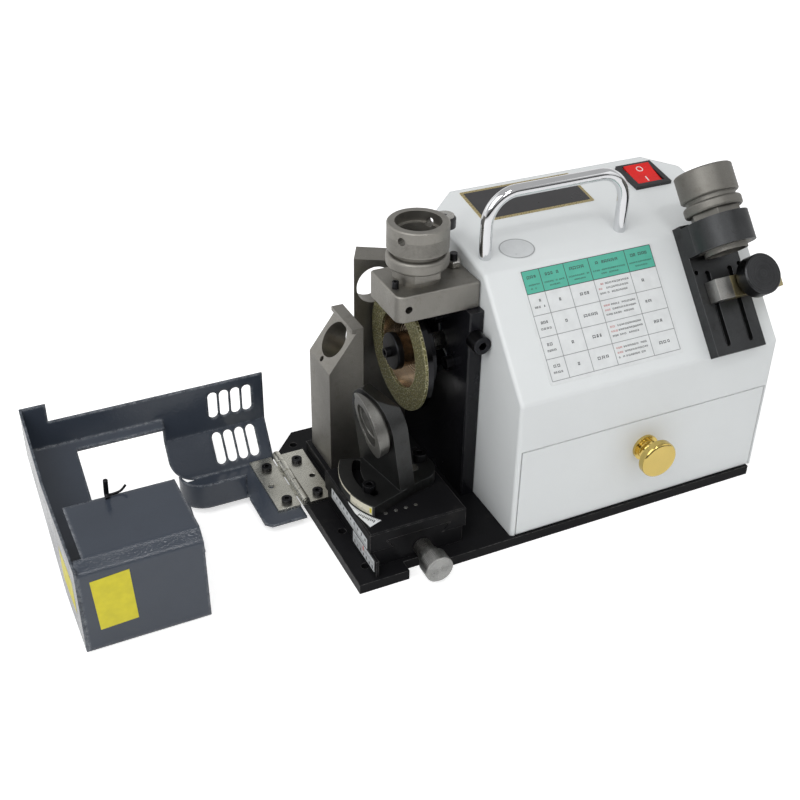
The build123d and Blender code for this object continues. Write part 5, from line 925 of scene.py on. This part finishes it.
def between(tree, source, first, second, span=(0, 1)):
    """A source's span of values, laid between two levels that are numbers or sockets."""
    made = tree.nodes.new("ShaderNodeMapRange")
    made.inputs["From Min"].default_value, made.inputs["From Max"].default_value = span
    tree.links.new(source, made.inputs["Value"])
    for key, level in (("To Min", first), ("To Max", second)):
        if isinstance(level, bpy.types.NodeSocket):
            tree.links.new(level, made.inputs[key])
        else:
            made.inputs[key].default_value = level
    return made.outputs["Result"]


def ray(tree, kind):
    return tree.nodes.new("ShaderNodeLightPath").outputs[kind]


def seen_level(tree, unseen, seen):
    """One level as light on the object, and another where the camera, a reflection or glass looks at it."""
    either = ray(tree, "Is Camera Ray")
    for kind in ("Is Glossy Ray", "Is Transmission Ray"):
        most = tree.nodes.new("ShaderNodeMath")
        most.operation = "MAXIMUM"
        tree.links.new(either, most.inputs[0])
        tree.links.new(ray(tree, kind), most.inputs[1])
        either = most.outputs[0]
    return between(tree, either, unseen, seen)


def dome_level(tree):
    """White for the camera; in reflections grey overhead, white low at the back and dark low in front."""
    heading = tree.nodes.new("ShaderNodeTexCoord")
    split = tree.nodes.new("ShaderNodeSeparateXYZ")
    tree.links.new(heading.outputs["Generated"], split.inputs["Vector"])
    low_down = between(tree, split.outputs["Y"], FRONT_GREY, 1.0, FRONT_TO_BACK)
    mirrored = between(tree, split.outputs["Z"], low_down, DOME_GREY, LOW_TO_HIGH)
    return between(tree, ray(tree, "Is Glossy Ray"), 1.0, mirrored)


def floor_level(tree):
    """Glow that the camera sees on the floor, and a weaker one in reflections."""
    return between(tree, ray(tree, "Is Glossy Ray"), FLOOR_GLOW, FLOOR_MIRRORED)


floor_mesh = bpy.data.meshes.new("floor")
corners = [(x, y, FLOOR_LEVEL) for x, y in rectangle(FLOOR_X, FLOOR_Y)]
floor_mesh.from_pydata(corners, [], [(0, 1, 2, 3)])
floor = bpy.data.objects.new("floor", floor_mesh)
link(floor)

pale = Shader("pale floor")
pale.set(Roughness=0.8, Specular_IOR_Level=0.2, Emission_Color=(1, 1, 1, 1))
pale.colour(pale.blend(pale.mottle(scale=3, detail=3), *FLOOR_TONES))
glow = seen_level(pale.tree, 0, floor_level(pale.tree))
pale.join(glow, pale.surface.inputs["Emission Strength"])
floor_mesh.materials.append(pale.material)

world = bpy.data.worlds.new("studio")
bpy.context.scene.world = world
world.use_nodes = True
sky = world.node_tree.nodes["Background"]
sky.inputs["Color"].default_value = (1, 1, 1, 1)
strength = seen_level(world.node_tree, WORLD_LEVEL, dome_level(world.node_tree))
world.node_tree.links.new(strength, sky.inputs["Strength"])

# Lamps: place, target, width, height and power; the strips glint in the bends of the guard
LAMPS = {
    "key light": ((-1.25, -0.6, 1.45), (0, 0, 0.08), 1.4, 1.4, 16),
    "side light": ((1.5, -0.9, 0.9), (0, 0, 0.1), 1.2, 1.2, 2.5),
    "high strip": ((0.01, -0.87, 1.78), (-0.2, -0.05, 0.08), 0.5, 0.1, 2.6),
    "low strip": ((0.01, -1.49, 1.31), (-0.2, -0.05, 0.08), 0.5, 0.1, 2.6),
    "back light": ((-1.2, 1.3, 1.2), (0, 0, 0.1), 1.4, 1.4, 4),
}
for name, (at, towards, wide, tall, power) in LAMPS.items():
    lamp = bpy.data.lights.new(name, "AREA")
    lamp.shape = "RECTANGLE"
    lamp.size = wide
    lamp.size_y = tall
    lamp.energy = power
    softbox = bpy.data.objects.new(name, lamp)
    softbox.location = at
    softbox.rotation_euler = (Vector(towards) - Vector(at)).to_track_quat("-Z", "Y").to_euler()
    link(softbox)

# Camera, as it was fitted to the photo's straight edges
CAMERA_AT = Vector((-0.3702, -0.5880, 0.5128))
TURN, RISE, ROLL = radians(-26.0), radians(33.3), radians(1.1)
SENSOR = 36
FOCAL_LENGTH = 53.75
SHIFT = (-0.0005, -0.01325)
FARTHEST = 50
right = Vector((cos(TURN), sin(TURN), 0))
back = Vector((sin(TURN) * cos(RISE), -cos(TURN) * cos(RISE), sin(RISE)))
up = back.cross(right)
right, up = right * cos(ROLL) + up * sin(ROLL), up * cos(ROLL) - right * sin(ROLL)
lens = bpy.data.cameras.new("camera")
lens.sensor_width = SENSOR
lens.lens = FOCAL_LENGTH
lens.shift_x, lens.shift_y = SHIFT
lens.clip_end = FARTHEST
camera = bpy.data.objects.new("camera", lens)
camera.matrix_world = axes(CAMERA_AT, right, up)
link(camera)
bpy.context.scene.camera = camera
bpy.context.scene.view_settings.view_transform = "Standard"
